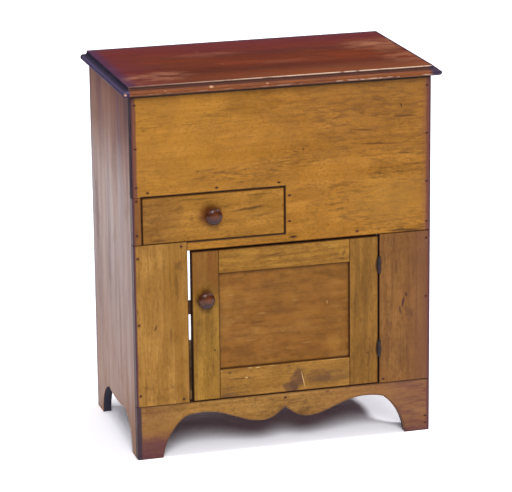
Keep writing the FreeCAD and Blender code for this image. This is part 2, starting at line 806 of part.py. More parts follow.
panel_reach = S.groove_depth - S.panel_play
panel_left = FRAME_LEFT - panel_reach
panel_bottom = FRAME_BOTTOM - panel_reach
panel_width = FRAME_RIGHT + panel_reach - panel_left
panel_height = FRAME_TOP + panel_reach - panel_bottom
panel_face = block(
    "door_panel_face",
    (panel_left, S.panel_recess, panel_bottom),
    (panel_left + panel_width, S.panel_recess + S.panel_edge_thickness, panel_bottom + panel_height),
)
feather_width = FRAME_RIGHT - FRAME_LEFT - S.panel_play * 2
feather_height = FRAME_TOP - FRAME_BOTTOM - S.panel_play * 2
feather = doc.addObject("Part::Wedge", "door_panel_feather")
bind(
    feather,
    Xmin=ZERO,
    Xmax=feather_width,
    Zmin=ZERO,
    Zmax=feather_height,
    Ymin=ZERO,
    Ymax=S.panel_thickness - S.panel_edge_thickness,
    X2min=S.panel_bevel_width,
    X2max=feather_width - S.panel_bevel_width,
    Z2min=S.panel_bevel_width,
    Z2max=feather_height - S.panel_bevel_width,
)
place(
    feather,
    FRAME_LEFT + S.panel_play,
    S.panel_recess + S.panel_edge_thickness,
    FRAME_BOTTOM + S.panel_play,
)
part(fuse("door_panel", [panel_face, feather]), "door_panel")

# ------------------------------------------------------------------------ drawer
# The front laps the ends of the sides with two half-blind dovetails at each corner.

drawer_left = DRAWER_LEFT + S.drawer_side_gap
drawer_right = DRAWER_RIGHT - S.drawer_side_gap
drawer_bottom_z = DRAWER_SILL + S.drawer_bottom_gap
drawer_top = DRAWER_HEAD - S.drawer_top_gap
box_height = drawer_top - S.drawer_top_drop - drawer_bottom_z
drawer_end = BACK_FACE - S.drawer_rear_gap
tray_underside = drawer_bottom_z + S.drawer_bottom_up
tray_top = tray_underside + S.drawer_bottom_thickness
back_front = drawer_end - S.drawer_side_thickness

drawer_tray = part(
    block(
        "drawer_bottom",
        (
            drawer_left + S.drawer_side_thickness - S.drawer_groove,
            S.drawer_front_thickness - S.drawer_groove,
            tray_underside,
        ),
        (
            drawer_right - S.drawer_side_thickness + S.drawer_groove,
            drawer_end,
            tray_top,
        ),
    ),
    "drawer_bottom",
)
drawer_back = part(
    block(
        "drawer_back",
        (
            drawer_left + S.drawer_side_thickness - S.drawer_housing,
            back_front - S.drawer_side_thickness,
            tray_top,
        ),
        (
            drawer_right - S.drawer_side_thickness + S.drawer_housing,
            back_front,
            drawer_top - S.drawer_top_drop,
        ),
    ),
    "drawer_back",
)


def dovetailed_side(name, left):
    """A drawer side with two tails on its front end, grooved and housed."""
    shoulder = S.drawer_front_thickness
    tail_height = (box_height - S.dovetail_half_pin * 2 - S.dovetail_pin) / 2
    first = S.dovetail_half_pin
    second = first + tail_height + S.dovetail_pin
    corners = [(drawer_end, ZERO), (drawer_end, box_height), (shoulder, box_height)]
    for foot in (second, first):
        head = foot + tail_height
        corners += [
            (shoulder, head),
            (S.dovetail_lap, head + S.dovetail_flare),
            (S.dovetail_lap, foot - S.dovetail_flare),
            (shoulder, foot),
        ]
    corners.append((shoulder, ZERO))
    blank = pad(f"{name}_blank", "YZ_Plane", corners, S.drawer_side_thickness)
    place(blank, left, ZERO, drawer_bottom_z)
    return part(cut(name, blank, [drawer_tray, drawer_back]), name)


drawer_sides = [
    dovetailed_side("drawer_side_left", drawer_left),
    dovetailed_side("drawer_side_right", drawer_right - S.drawer_side_thickness),
]
drawer_front_blank = block(
    "drawer_front_blank",
    (drawer_left, ZERO, drawer_bottom_z),
    (drawer_right, S.drawer_front_thickness, drawer_top),
)
knob_bore = doc.addObject("Part::Cylinder", "knob_bore")
bind(knob_bore, Radius=S.shank_radius, Height=S.drawer_front_thickness)
place(knob_bore, S.drawer_knob_left, S.drawer_front_thickness, drawer_knob_z, OUTWARD)
part(
    cut("drawer_front", drawer_front_blank, drawer_sides + [drawer_tray, knob_bore]),
    "drawer_front",
)

stop_front = S.drawer_front_thickness + S.drawer_bottom_gap
for hand, left in (
    ("left", DRAWER_LEFT + S.drawer_stop_inset),
    ("right", DRAWER_RIGHT - S.drawer_stop_inset - S.drawer_stop_length),
):
    part(
        block(
            f"drawer_stop_{hand}",
            (left, stop_front, DRAWER_SILL),
            (
                left + S.drawer_stop_length,
                stop_front + S.drawer_stop_depth,
                DRAWER_SILL + S.drawer_stop_height,
            ),
        ),
        f"drawer_stop_{hand}",
    )

# ------------------------------------------------------------------------- nails
# Cut nails with a flat head, drawn with the head at the origin, driven along +Y.

nail_head = block(
    "nail_head",
    (ZERO - S.nail_head_width / 2, ZERO - S.nail_proud, ZERO - S.nail_head_height / 2),
    (S.nail_head_width / 2, S.nail_head_thickness - S.nail_proud, S.nail_head_height / 2),
    OWN,
)
nail_shank = doc.addObject("Part::Wedge", "nail_shank")
half_nail = S.nail_width / 2
half_tip = S.nail_tip / 2
bind(
    nail_shank,
    Xmin=ZERO - half_nail,
    Xmax=half_nail,
    Zmin=ZERO - half_nail,
    Zmax=half_nail,
    Ymin=ZERO,
    Ymax=S.nail_length,
    X2min=ZERO - half_tip,
    X2max=half_tip,
    Z2min=ZERO - half_tip,
    Z2max=half_tip,
)
cut_nail = fuse("cut_nail", [nail_head, nail_shank])


def along(start, end, *shares):
    """Places at the given shares of the way from start to end."""
    return [start + (end - start) * share for share in shares]


well_floor_line = WELL_UNDERSIDE + S.floor_thickness / 2
cupboard_floor_line = DOOR_SILL + S.nail_inset
shallow_floor_line = DRAWER_HEAD + S.nail_inset
right_row = S.case_width - S.nail_inset
partition_line = PARTITION_LEFT + S.floor_thickness / 2
skirt_foot = S.foot_cusp_height / 2

front_spots = []
# front board: into both sides, the shallow floor, the partition and the deep floor
front_spots += [(S.nail_inset, z) for z in along(DRAWER_HEAD, S.case_height, 0.1, 0.48, 0.905)]
front_spots += [(right_row, z) for z in along(DOOR_HEAD, S.case_height, 0.06, 0.32, 0.63, 0.935)]
front_spots += [(x, shallow_floor_line) for x in along(ZERO, DRAWER_RIGHT, 0.1, 0.55, 0.96)]
front_spots += [(partition_line, z) for z in along(DRAWER_SILL, DRAWER_HEAD, 0.25, 0.8)]
front_spots += [(x, well_floor_line) for x in along(partition_line, RIGHT_STILE, 0.04, 0.75)]
# strip and fixed stiles: into the sides and the floors
front_spots += [(S.nail_inset, z) for z in along(DRAWER_SILL, DRAWER_HEAD, 0.21, 0.93)]
front_spots += [(S.nail_inset, z) for z in along(DOOR_SILL, DRAWER_SILL, 0.07, 0.51, 0.92)]
front_spots += [
    (S.left_stile_width - S.nail_inset * 1.5, z) for z in (cupboard_floor_line, well_floor_line)
]
front_spots += [(right_row, z) for z in along(DOOR_SILL, DOOR_HEAD, 0.56, 0.95)]
front_spots += [(RIGHT_STILE + S.nail_inset, cupboard_floor_line)]
# skirt: into the bearer and, low down, into the right side
front_spots += [(S.case_width / 2, DOOR_SILL - S.bearer_height / 2)]
front_spots += [(right_row, z) for z in along(ZERO, skirt_foot, 0.4, 0.75)]


def nails(name, spots, turn):
    """A set of nails, each spot a point on the face that it is driven into."""
    copies = [copy_at(f"{name}_{number}", cut_nail, *spot, turn) for number, spot in enumerate(spots)]
    return part(group(name, copies), name)


nails("front_nails", [(x, ZERO, z) for x, z in front_spots], FreeCAD.Rotation())

BACKWARD = FreeCAD.Rotation(FreeCAD.Vector(0, 0, 1), 180)
rabbet_middle = S.side_thickness - S.rabbet_width / 2
back_heights = along(DRAWER_SILL, DRAWER_HEAD, 0.25) + along(shallow_floor_top, back_joint, 0.5)
back_heights += along(back_joint, S.case_height, 0.12, 0.85)
back_spots = [(x, z) for x in (rabbet_middle, S.case_width - rabbet_middle) for z in back_heights]
back_spots += [(x, well_floor_line) for x in along(ZERO, S.case_width, 0.2, 0.4, 0.6, 0.8)]
nails("back_nails", [(x, S.case_depth, z) for x, z in back_spots], BACKWARD)

UPWARD = FreeCAD.Rotation(FreeCAD.Vector(1, 0, 0), 90)
brad_y = back_front - S.drawer_side_thickness / 2
brad_x = along(drawer_left, drawer_right, 0.1, 0.5, 0.9)
nails("drawer_nails", [(x, brad_y, tray_underside) for x in brad_x], UPWARD)

# ------------------------------------------------------------ check and write out

doc.recompute()
for thing in doc.Objects:
    if "Invalid" in thing.State or "Error" in thing.State:
        raise RuntimeError(f"{thing.Label} failed: {thing.State}")
os.makedirs("parts", exist_ok=True)
for piece in PARTS:
    if piece.Shape.isNull() or not piece.Shape.isValid():
        raise RuntimeError(f"{piece.Label} has no valid shape")
for piece in PARTS:
    piece.Shape.exportStep(f"parts/{piece.Label}.step")
print(len(PARTS), "pieces written")
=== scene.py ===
# Lift-top dry sink cabinet: the finish of every piece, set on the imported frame.
# Metres, +Z up, but for the tables of marks, which are in millimetres. Pieces follow the
# order in which the cabinet is put together.
import json
import math

import bmesh
import bpy
from mathutils import Matrix, Vector, noise

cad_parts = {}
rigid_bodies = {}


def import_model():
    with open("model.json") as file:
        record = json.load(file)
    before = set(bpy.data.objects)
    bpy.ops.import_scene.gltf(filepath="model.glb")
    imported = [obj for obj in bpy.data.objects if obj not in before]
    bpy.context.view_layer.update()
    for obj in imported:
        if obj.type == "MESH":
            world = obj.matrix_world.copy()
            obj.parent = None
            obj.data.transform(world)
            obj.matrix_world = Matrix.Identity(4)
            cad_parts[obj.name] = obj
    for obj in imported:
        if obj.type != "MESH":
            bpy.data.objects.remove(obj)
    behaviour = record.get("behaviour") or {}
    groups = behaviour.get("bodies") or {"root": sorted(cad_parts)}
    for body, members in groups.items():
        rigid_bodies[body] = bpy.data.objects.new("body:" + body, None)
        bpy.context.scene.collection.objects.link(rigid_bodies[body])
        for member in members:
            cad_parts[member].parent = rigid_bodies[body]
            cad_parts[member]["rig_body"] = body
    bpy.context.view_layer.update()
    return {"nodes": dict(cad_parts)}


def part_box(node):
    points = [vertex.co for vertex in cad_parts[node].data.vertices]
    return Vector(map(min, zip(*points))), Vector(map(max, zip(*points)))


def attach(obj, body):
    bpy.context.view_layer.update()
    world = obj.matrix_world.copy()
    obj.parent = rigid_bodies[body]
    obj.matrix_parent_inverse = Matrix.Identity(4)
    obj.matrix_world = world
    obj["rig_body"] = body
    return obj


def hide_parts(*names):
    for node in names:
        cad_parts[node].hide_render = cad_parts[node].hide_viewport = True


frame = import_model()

# ----------------------------------------- sides
# Two wide pine boards, sawn to a pair of feet below and rabbeted behind. Outside they
# keep a thin red-brown stain that has gone grey in streaks with handling, with a painted
# sheen across the middle and painted shade under the lid; inside they are bare, and low
# down they take painted shade.


class Channel:
    """One value in a finish. Sums and products of channels add their own Math nodes."""

    def __init__(self, nodes, socket):
        self.nodes = nodes
        self.socket = socket

    def maths(self, operation, first, second):
        return self.nodes.node("ShaderNodeMath", {0: first, 1: second}, operation=operation)

    def __add__(self, other):
        return self.maths("ADD", self, other)

    __radd__ = __add__

    def __sub__(self, other):
        return self.maths("SUBTRACT", self, other)

    def __rsub__(self, other):
        return self.maths("SUBTRACT", other, self)

    def __mul__(self, other):
        return self.maths("MULTIPLY", self, other)

    __rmul__ = __mul__

    def __abs__(self):
        return self.maths("ABSOLUTE", self, 0.0)

    def most(self, other):
        return self.maths("MAXIMUM", self, other)


class Nodes:
    """The nodes of a finish, or of the room that lights it, while they are put together."""

    def __init__(self, owner):
        owner.use_nodes = True
        self.tree = owner.node_tree
        self.tree.nodes.clear()

    def node(self, kind, inputs=None, output=0, **settings):
        """Adds a node: its settings are set first, then its sockets, from values or channels."""
        made = self.tree.nodes.new(kind)
        for name, setting in settings.items():
            setattr(made, name, setting)
        for socket, given in (inputs or {}).items():
            if isinstance(given, Channel):
                self.tree.links.new(given.socket, made.inputs[socket])
            else:
                made.inputs[socket].default_value = given
        return Channel(self, made.outputs[output]) if made.outputs else None

    def vector(self, operation, *parts, output=0):
        """A sum, product or length of places or colours."""
        inputs = dict(enumerate(parts))
        return self.node("ShaderNodeVectorMath", inputs, output, operation=operation)

    def between(self, channel, low, high):
        """0 where the channel is at low, 1 where it is at high, and smooth between them."""
        inputs = {"Value": channel, "From Min": low, "From Max": high}
        return self.node("ShaderNodeMapRange", inputs, interpolation_type="SMOOTHSTEP")


def stain(red, green, blue):
    """A colour as the eye reads it, 0 to 255, as the linear colour that a node takes."""
    linear = []
    for part in (red, green, blue):
        share = part / 255
        linear.append(share / 12.92 if share <= 0.04045 else ((share + 0.055) / 1.055) ** 2.4)
    return (*linear, 1.0)


class Finish(Nodes):
    """A material while it is being mixed: colour, roughness and relief grow step by step."""

    MIDDLE = (0.5, 0.5, 0.5)

    def __init__(self, name, colour, roughness):
        self.material = bpy.data.materials.new(name)
        super().__init__(self.material)
        self.place = self.node("ShaderNodeTexCoord", output="Object")
        split = self.node("ShaderNodeSeparateXYZ", {0: self.place}).socket.node
        self.x, self.y, self.z = (Channel(self, out) for out in split.outputs)
        self.flow = self.place
        self.colour = self.node("ShaderNodeRGB")
        self.colour.socket.default_value = stain(*colour)
        self.roughness = roughness
        self.relief = 0.0
        drift = self.noise((70,) * 3, 17, 3, output=1)
        self.wander = self.vector("SUBTRACT", drift, self.MIDDLE)

    def noise(self, turns, seed, detail=2.0, roughness=0.5, output=0):
        """Noise with so many turns per metre along X, Y and Z, following the grain's flow."""
        spot = {"Vector": self.flow, "Location": (seed, seed * 1.7, seed * 2.3), "Scale": turns}
        where = self.node("ShaderNodeMapping", spot)
        inputs = {"Vector": where, "Scale": 1.0, "Detail": detail, "Roughness": roughness}
        return self.node("ShaderNodeTexNoise", inputs, output=output)

    def patches(self, turns, seed, low, high, detail=3, roughness=0.5):
        """Patches of noise: none where it is under low, full where it is over high."""
        return self.between(self.noise(turns, seed, detail, roughness), low, high)

    def bend(self, turns, seed, reach):
        """Lets the grain wander: later noise is shifted by up to half of reach, in metres."""
        centred = self.vector("SUBTRACT", self.noise(turns, seed, output=1), self.MIDDLE)
        self.flow = self.vector("ADD", self.flow, self.vector("MULTIPLY", centred, (reach,) * 3))

    def spot(self, centre, radii, turn=0.0, soft=0.6, ragged=0.0):
        """1 in the middle of an oval, fading out at its radii. It turns about Y."""
        where = self.vector("MULTIPLY_ADD", self.wander, (ragged,) * 3, self.place)
        inputs = {"Vector": where, "Location": centre, "Rotation": (0.0, turn, 0.0)}
        inputs["Scale"] = radii
        within = self.node("ShaderNodeMapping", inputs, vector_type="TEXTURE")
        return self.between(self.vector("LENGTH", within, output=1), 1.0, 1.0 - soft)

    def tint(self, colour, mask):
        """Lays a colour over what is there, as strongly as the mask says."""
        inputs = {0: mask, 6: self.colour, 7: stain(*colour)}
        settings = {"data_type": "RGBA", "clamp_factor": True}
        self.colour = self.node("ShaderNodeMix", inputs, output=2, **settings)

    def close(self, gloss=0.5, coat=0.0, coat_roughness=0.3, metallic=0.0):
        """Sets the shader from what has been built up and gives the finished material."""
        relief = {"Height": self.relief, "Strength": 1.0, "Distance": 1.0}
        sockets = {
            "Base Color": self.colour,
            "Roughness": self.roughness,
            "Normal": self.node("ShaderNodeBump", relief),
            "Specular IOR Level": gloss,
            "Coat Weight": coat,
            "Coat Roughness": coat_roughness,
            "Metallic": metallic,
        }
        shader = self.node("ShaderNodeBsdfPrincipled", sockets)
        self.node("ShaderNodeOutputMaterial", {"Surface": shader})
        return self.material


def run(grain, along, across):
    """Turns per metre along X, Y and Z for a pattern that follows the grain."""
    return tuple(along if axis == grain else across for axis in "XYZ")


def pine(name, grain, seed, pale, deep, fleck, flecks=0.6, smudge=0.35, roughness=0.5):
    """Old pine: broad bands, dark late wood, flecks in patches, smudges, grit and fibres."""
    wood = Finish(name, pale, roughness)
    wood.bend(run(grain, 1.3, 5), seed + 40, 0.03)
    bands = wood.patches(run(grain, 2, 26), seed, 0.33, 0.67, 3, 0.6)
    late = wood.patches(run(grain, 3.5, 120), seed + 5, 0.46, 0.66, 2)
    cloud = wood.patches(run(grain, 16, 28), seed + 7, 0.38, 0.64, 3, 0.6)
    patch = wood.patches(run(grain, 5, 14), seed + 9, 0.38, 0.62)
    dashes = wood.patches(run(grain, 15, 210), seed + 13, 0.50, 0.72, 4, 0.7)
    ticks = wood.patches(run(grain, 52, 260), seed + 15, 0.50, 0.70, 4, 0.7)
    soil = wood.patches(run(grain, 9, 15), seed + 17, 0.50, 0.72, 5, 0.65)
    grit = wood.patches(run(grain, 120, 190), seed + 19, 0.46, 0.72, 3, 0.7)
    fibre = wood.noise(run(grain, 60, 1300), seed + 21, 2)
    wood.streaks = dashes * 0.6 + 0.4
    wood.tint(deep, bands * 0.7)
    wood.tint(deep, cloud * 0.55)
    wood.tint(deep, late * 0.6)
    wood.tint(fleck, soil * smudge)
    wood.tint(fleck, dashes.most(ticks) * patch * flecks)
    wood.tint(fleck, grit * flecks * 0.55)
    wood.tint(fleck, wood.between(fibre, 0.45, 0.75) * 0.22)
    wood.roughness += (bands - 0.5) * 0.10 + soil * 0.10
    wood.relief += bands * 0.00025 - late * 0.00010 + fibre * 0.00005
    wood.relief -= dashes * 0.00012
    return wood


FLAT = math.radians(1)
SHARP = math.radians(30)
TOUCHING = 1e-6
COARSE_RUB = 45
FINE_RUB = 160


def eased(node, ease, step=0.025, rub=0.35):
    """A copy of a CAD piece whose arrises are eased and rubbed unevenly along their length."""
    work = merged(node)
    for face in work.faces:
        turns = [edge.calc_face_angle(0.0) for edge in face.edges]
        face.smooth = any(FLAT < turn < SHARP for turn in turns)
    for edge in [edge for edge in work.edges if edge.calc_face_angle(0.0) > SHARP]:
        cuts = int(edge.calc_length() / step)
        if cuts > 0:
            bmesh.ops.subdivide_edges(work, edges=[edge], cuts=cuts)
    for face in round_over(work, ease, segments=3):
        face.smooth = True
    work.normal_update()
    for vert in work.verts:
        if vert.link_faces and all(face.smooth for face in vert.link_faces):
            wear_down(vert, ease * rub)
    return work


def stitched(node):
    """A CAD piece's mesh with the doubled points of its triangles made one."""
    work = bmesh.new()
    work.from_mesh(frame["nodes"][node].data)
    bmesh.ops.remove_doubles(work, verts=work.verts, dist=TOUCHING)
    return work


def merged(node):
    """A CAD piece's mesh with its triangles joined again into whole faces."""
    work = stitched(node)
    bmesh.ops.dissolve_limit(work, angle_limit=FLAT, verts=work.verts, edges=work.edges)
    return work


def round_over(work, ease, segments):
    """Rounds every sharp edge of a mesh and gives the new faces."""
    sharp = [edge for edge in work.edges if edge.calc_face_angle(0.0) > SHARP]
    return bmesh.ops.bevel(
        work,
        geom=sharp,
        offset=ease,
        offset_type="OFFSET",
        segments=segments,
        profile=0.5,
        affect="EDGES",
        material=-1,
        clamp_overlap=True,
    )["faces"]


def wear_down(vert, depth):
    """Rubs one point of an arris inwards, by an amount that wanders along the edge."""
    worn = noise.noise(vert.co * COARSE_RUB) + 0.5 * noise.noise(vert.co * FINE_RUB)
    vert.co -= vert.normal * depth * max(0.0, worn)


def put_up(name, work, material):
    """Stands a finished mesh in the scene, at the origin and unturned."""
    mesh = bpy.data.meshes.new(name)
    work.to_mesh(mesh)
    work.free()
    mesh.materials.append(material)
    made = bpy.data.objects.new(name, mesh)
    bpy.context.scene.collection.objects.link(made)
    return made


def piece(name, work, nodes, material, smooth=None):
    """Makes a finished mesh into a piece that stands for these CAD nodes and rides with them."""
    if smooth is not None:
        for face in work.faces:
            face.smooth = True
        for edge in work.edges:
            edge.smooth = edge.calc_face_angle(0.0) < math.radians(smooth)
    made = put_up(name, work, material)
    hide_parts(*nodes)
    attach(made, frame["nodes"][nodes[0]]["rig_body"])


case_low, case_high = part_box("side_left")[0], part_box("side_right")[1]
front_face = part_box("front_board")[0].y
BOARD_EASE = 0.0010
BOARD_THICK = 0.020
ARCH_TOP = 0.150
UNDER_LID = 0.0078
# Behind a finished face its colour gives way from the first depth, and has gone at the second.
FACE_ENDS = 0.0006
FACE_GONE = 0.0016


def side_finish(hand, seed):
    """Red-brown stain outside, streaked grey and blue down the grain; bare wood inside."""
    wood = pine(
        f"side_pine_{hand}", "Z", seed,
        pale=(170, 118, 92), deep=(134, 86, 66), fleck=(96, 62, 58),
        flecks=0.5, smudge=0.40, roughness=0.42,
    )
    low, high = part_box(f"side_{hand}")
    depth = wood.x - low.x if hand == "left" else high.x - wood.x
    for colour, turns, shift, least, most, strength in (
        ((188, 146, 120), 13, 51, 0.44, 0.70, 0.50),
        ((112, 68, 50), 30, 53, 0.46, 0.68, 0.70),
        ((98, 78, 104), 17, 57, 0.48, 0.70, 0.60),
    ):
        streak = wood.patches(run("Z", 1.6, turns), seed + shift, least, most)
        wood.tint(colour, streak * strength)
    # The top of the board is darker: painted shade under the lid's overhang. It is also rougher
    # there.
    top_band_painted_shade = wood.between(wood.z, 0.60, 0.84)
    wood.tint((152, 102, 88), top_band_painted_shade * 0.44)
    wood.roughness += top_band_painted_shade * 0.35
    by_front = wood.between(wood.y, low.y + 0.09, low.y + 0.01)
    # Painted shade under the lid's moulding, near the front of the board.
    wood.tint((84, 58, 70), by_front * wood.between(wood.z, 0.66, 0.82) * 0.7)
    wood.tint((150, 102, 84), by_front * wood.between(wood.z, 0.50, 0.20) * 0.5)
    # A pale painted sheen across the middle of the board, where it catches the light.
    painted_sheen = wood.spot((low.x, low.y + 0.16, 0.56), (0.5, 0.20, 0.26), soft=0.9, ragged=0.05)
    wood.tint((198, 162, 146), painted_sheen * 0.46)
    wood.tint((159, 99, 42), wood.between(wood.z, 0.44, 0.10) * 0.76)
    wood.tint((60, 42, 62), wood.between(wood.y, high.y - 0.026, high.y - 0.004) * 0.55)
    # A dark band just below the lid: painted shade of its overhang.
    wood.tint((40, 28, 36), wood.between(wood.z, high.z - UNDER_LID, high.z - 0.006) * 0.8)
    # The sawn edges are painted dark: partly dirt on the bare cut, partly painted shade.
    sawn = wood.between(depth, FACE_ENDS, FACE_GONE)
    wood.tint((48, 36, 46), sawn * 0.9)
    # Low down, under the case, the sawn edges and the bare inner face take dark navy painted
    # shade.
    under_case_shade = wood.between(wood.z, ARCH_TOP, ARCH_TOP - 0.025)
    wood.tint((48, 50, 70), sawn * under_case_shade * 0.8)
    bare = wood.between(depth, BOARD_THICK - FACE_GONE, BOARD_THICK - FACE_ENDS)
    wood.tint((168, 128, 84), bare * 0.70)
    # Painted shade, dark navy, on the inner face under the case.
    wood.tint((27, 29, 50), bare * under_case_shade * 0.9)
    return wood.close(gloss=0.24)


for hand, seed in (("left", 3), ("right", 7)):
    board = eased(f"side_{hand}", BOARD_EASE)
    piece(f"side_{hand}_board", board, [f"side_{hand}"], side_finish(hand, seed))

# ----------------------- floors and inner boards
# Plain pine boards that nobody was meant to see: the floors and the partition of the
# well, the bearer behind the skirt, the stops and the two boards of the back.

under_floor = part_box("cupboard_floor")[0].z
INNER_EASE = 0.0007


def inner_finish(name, grain, seed, pale=(186, 148, 100), deep=(158, 118, 76)):
    """Bare pine, browned by age, with a little dust in the corners of the grain."""
    wood = pine(
        name, grain, seed,
        pale=pale, deep=deep, fleck=(104, 78, 52), flecks=0.35, smudge=0.45, roughness=0.68,
    )
    dust = wood.patches((14,) * 3, seed + 71, 0.50, 0.72, 5, 0.7)
    wood.tint((176, 160, 138), dust * 0.30)
    # The underside of the lowest floor is painted dark mauve: painted shade under the case.
    underside_painted_shade = wood.between(wood.z, under_floor + 0.0012, under_floor + 0.0004)
    wood.tint((88, 66, 74), underside_painted_shade * 0.9)
    return wood.close(gloss=0.3)


level_pine = inner_finish("inner_pine_level", "X", 11)
depth_pine = inner_finish("inner_pine_deep", "Y", 12.5)
back_pine = inner_finish("back_pine", "X", 14, pale=(160, 124, 86), deep=(128, 94, 64))
for node, material in (
    ("cupboard_floor", level_pine),
    ("deep_well_floor", level_pine),
    ("shallow_well_floor", level_pine),
    ("well_partition", depth_pine),
    ("skirt_bearer", level_pine),
    ("back_board_upper", back_pine),
    ("back_board_lower", back_pine),
    ("door_stop", inner_finish("door_stop_pine", "Z", 16, (120, 84, 56), (92, 62, 44))),
    ("drawer_stop_left", depth_pine),
    ("drawer_stop_right", depth_pine),
):
    piece(f"{node}_wood", eased(node, INNER_EASE), [node], material)

# ------------------------------------- the nails
# Cut iron nails with flat oblong heads, rusted. Round each head the iron has stained
# the wood, so the places of the heads are kept for the boards that they hold.


def loose_parts(node):
    """The lowest and highest corner of each separate solid in a CAD node."""
    work = stitched(node)
    left = set(work.verts)
    corners = []
    while left:
        island = [left.pop()]
        for vert in island:
            joined = {edge.other_vert(vert) for edge in vert.link_edges} & left
            left -= joined
            island.extend(joined)
        points = [vert.co for vert in island]
        low = Vector(min(point[axis] for point in points) for axis in range(3))
        high = Vector(max(point[axis] for point in points) for axis in range(3))
        corners.append((low, high))
    work.free()
    return sorted(corners, key=lambda pair: tuple(pair[0]))


rust = Finish("nail_rust", (54, 34, 28), 0.75)
scale = rust.patches((420,) * 3, 2, 0.42, 0.68, 4, 0.7)
rust.tint((104, 52, 32), scale * 0.8)
rust.relief += scale * 0.0002
nail_rust = rust.close(gloss=0.3, metallic=0.2)

IRON_EASE = 0.0004
for group in ("front_nails", "back_nails", "drawer_nails"):
    work = eased(group, IRON_EASE, step=0.1)
    piece(f"{group}_iron", work, [group], nail_rust)
nail_heads = [((low + high) / 2).to_tuple() for low, high in loose_parts("front_nails")]
NAIL_STAIN_ALONG = 0.0075
NAIL_STAIN_ACROSS = 0.0050


def nail_stains(wood, grain, node):
    """Rust drawn into the fibres round each nail of one board."""
    low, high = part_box(node)
    radii = run(grain, NAIL_STAIN_ALONG, NAIL_STAIN_ACROSS)
    for x, _, z in nail_heads:
        if low.x < x < high.x and low.z < z < high.z:
            halo = wood.spot((x, front_face, z), radii, soft=0.9, ragged=0.006)
            wood.tint((94, 36, 10), halo * 0.7)


# ---------------------------------- front boards
# Clear pine boards over the front edges of the sides: the big one with the cut-out
# for the drawer, a narrow strip, and a fixed stile on each side of the door. Oil and
# shellac have turned them gold; hands and wet have darkened them in streaks.

MM = 0.001
MARK_DEPTH = 0.020
KNOT_WIDTH = 9
FRONT_GLOSS = 0.25


def on_front(left, up):
    """A point on the front, in millimetres from the left end of the case and the floor."""
    return (case_low.x + left * MM, front_face, up * MM)


def mark(wood, left, up, width, height, turn=0, soft=0.6, ragged=0):
    """An oval on the front, in millimetres, turned by so many degrees."""
    radii = (width / 2 * MM, MARK_DEPTH, height / 2 * MM)
    return wood.spot(on_front(left, up), radii, math.radians(turn), soft, ragged * MM)


def dark_marks(wood, colour, marks):
    """Knots, bruises and wet marks: place, width, height and turn of each, and its strength."""
    for *oval, strength in marks:
        narrow = min(oval[2:4])
        if narrow > KNOT_WIDTH:
            spread = mark(wood, *oval, soft=0.8, ragged=1.4 * narrow) * wood.streaks
        else:
            spread = mark(wood, *oval, soft=0.7, ragged=0.6 * narrow)
        wood.tint(colour, spread * strength)


def pale_marks(wood, colour, marks):
    """Chips and scuffs that show fresh wood, listed in the same way."""
    for *oval, strength in marks:
        wood.tint(colour, mark(wood, *oval, ragged=0.3 * min(oval[2:4])) * strength)


def raw_behind(wood, node):
    """Only the face was finished: the sawn edges are painted dark, partly dirt and partly painted
    shade, and the back stayed bare.
    """
    low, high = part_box(node)
    # Sawn edges darkened: dirt, and painted shade.
    wood.tint((66, 36, 20), wood.between(wood.y, low.y + 0.0010, low.y + 0.0022) * 0.75)
    if node == "door_panel":
        # It is feathered, so its bare side comes close behind its face.
        bare = wood.between(wood.y, low.y + 0.002, low.y + 0.003)
    else:
        bare = wood.between(wood.y, high.y - FACE_GONE, high.y - FACE_ENDS)
    wood.tint((168, 130, 88), bare * 0.7)
    wood.tint((118, 84, 52), bare * (wood.streaks - 0.4) * 0.9)


def joint_dirt(wood, node, left=0.0016, right=0.0016, below=0.0016, above=0.0016):
    """Dirt and old finish along the joints of a board, each side as wide as it says."""
    low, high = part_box(node)
    for distance, width in (
        (wood.x - low.x, left),
        (high.x - wood.x, right),
        (wood.z - low.z, below),
        (high.z - wood.z, above),
    ):
        if width > 0:
            dirt = wood.between(distance, width, width * 0.3)
            wood.tint((52, 22, 6), dirt * 0.85)
            wood.roughness += dirt * 0.5


def corner_stain(wood, left, right, seed):
    """Stain of the sides brushed round the corner on to the front, left and right."""
    ragged = (wood.noise((60, 60, 22), seed, 3) - 0.5) * 0.007
    for end, reach in ((wood.x - case_low.x, left), (case_high.x - wood.x, right)):
        if reach > 0:
            brushed = wood.between(end + ragged, reach + 0.0018, reach - 0.0012)
            wood.tint((118, 66, 54), brushed * 0.85)
            wood.tint((76, 44, 58), wood.between(end, 0.0070, 0.0016) * 0.9)


def iron_stain(wood):
    """Black iron stain drawn into the wood beside the knuckles of the door's hinges."""
    for low, high in loose_parts("door_hinge_pins"):
        middle = ((low.x + high.x) / 2, front_face, (low.z + high.z) / 2)
        black = wood.spot(middle, (0.0085, MARK_DEPTH, 0.023), soft=0.35, ragged=0.003)
        wood.tint((44, 30, 30), black * 0.8)


def end_grain(wood):
    """The sawn ends of a level board drank the stain and are nearly black."""
    for end in (wood.x - case_low.x, case_high.x - wood.x):
        dark = wood.between(end, FACE_GONE, FACE_ENDS)
        wood.tint((36, 23, 35), dark * 0.94)
        wood.roughness += dark * 0.35


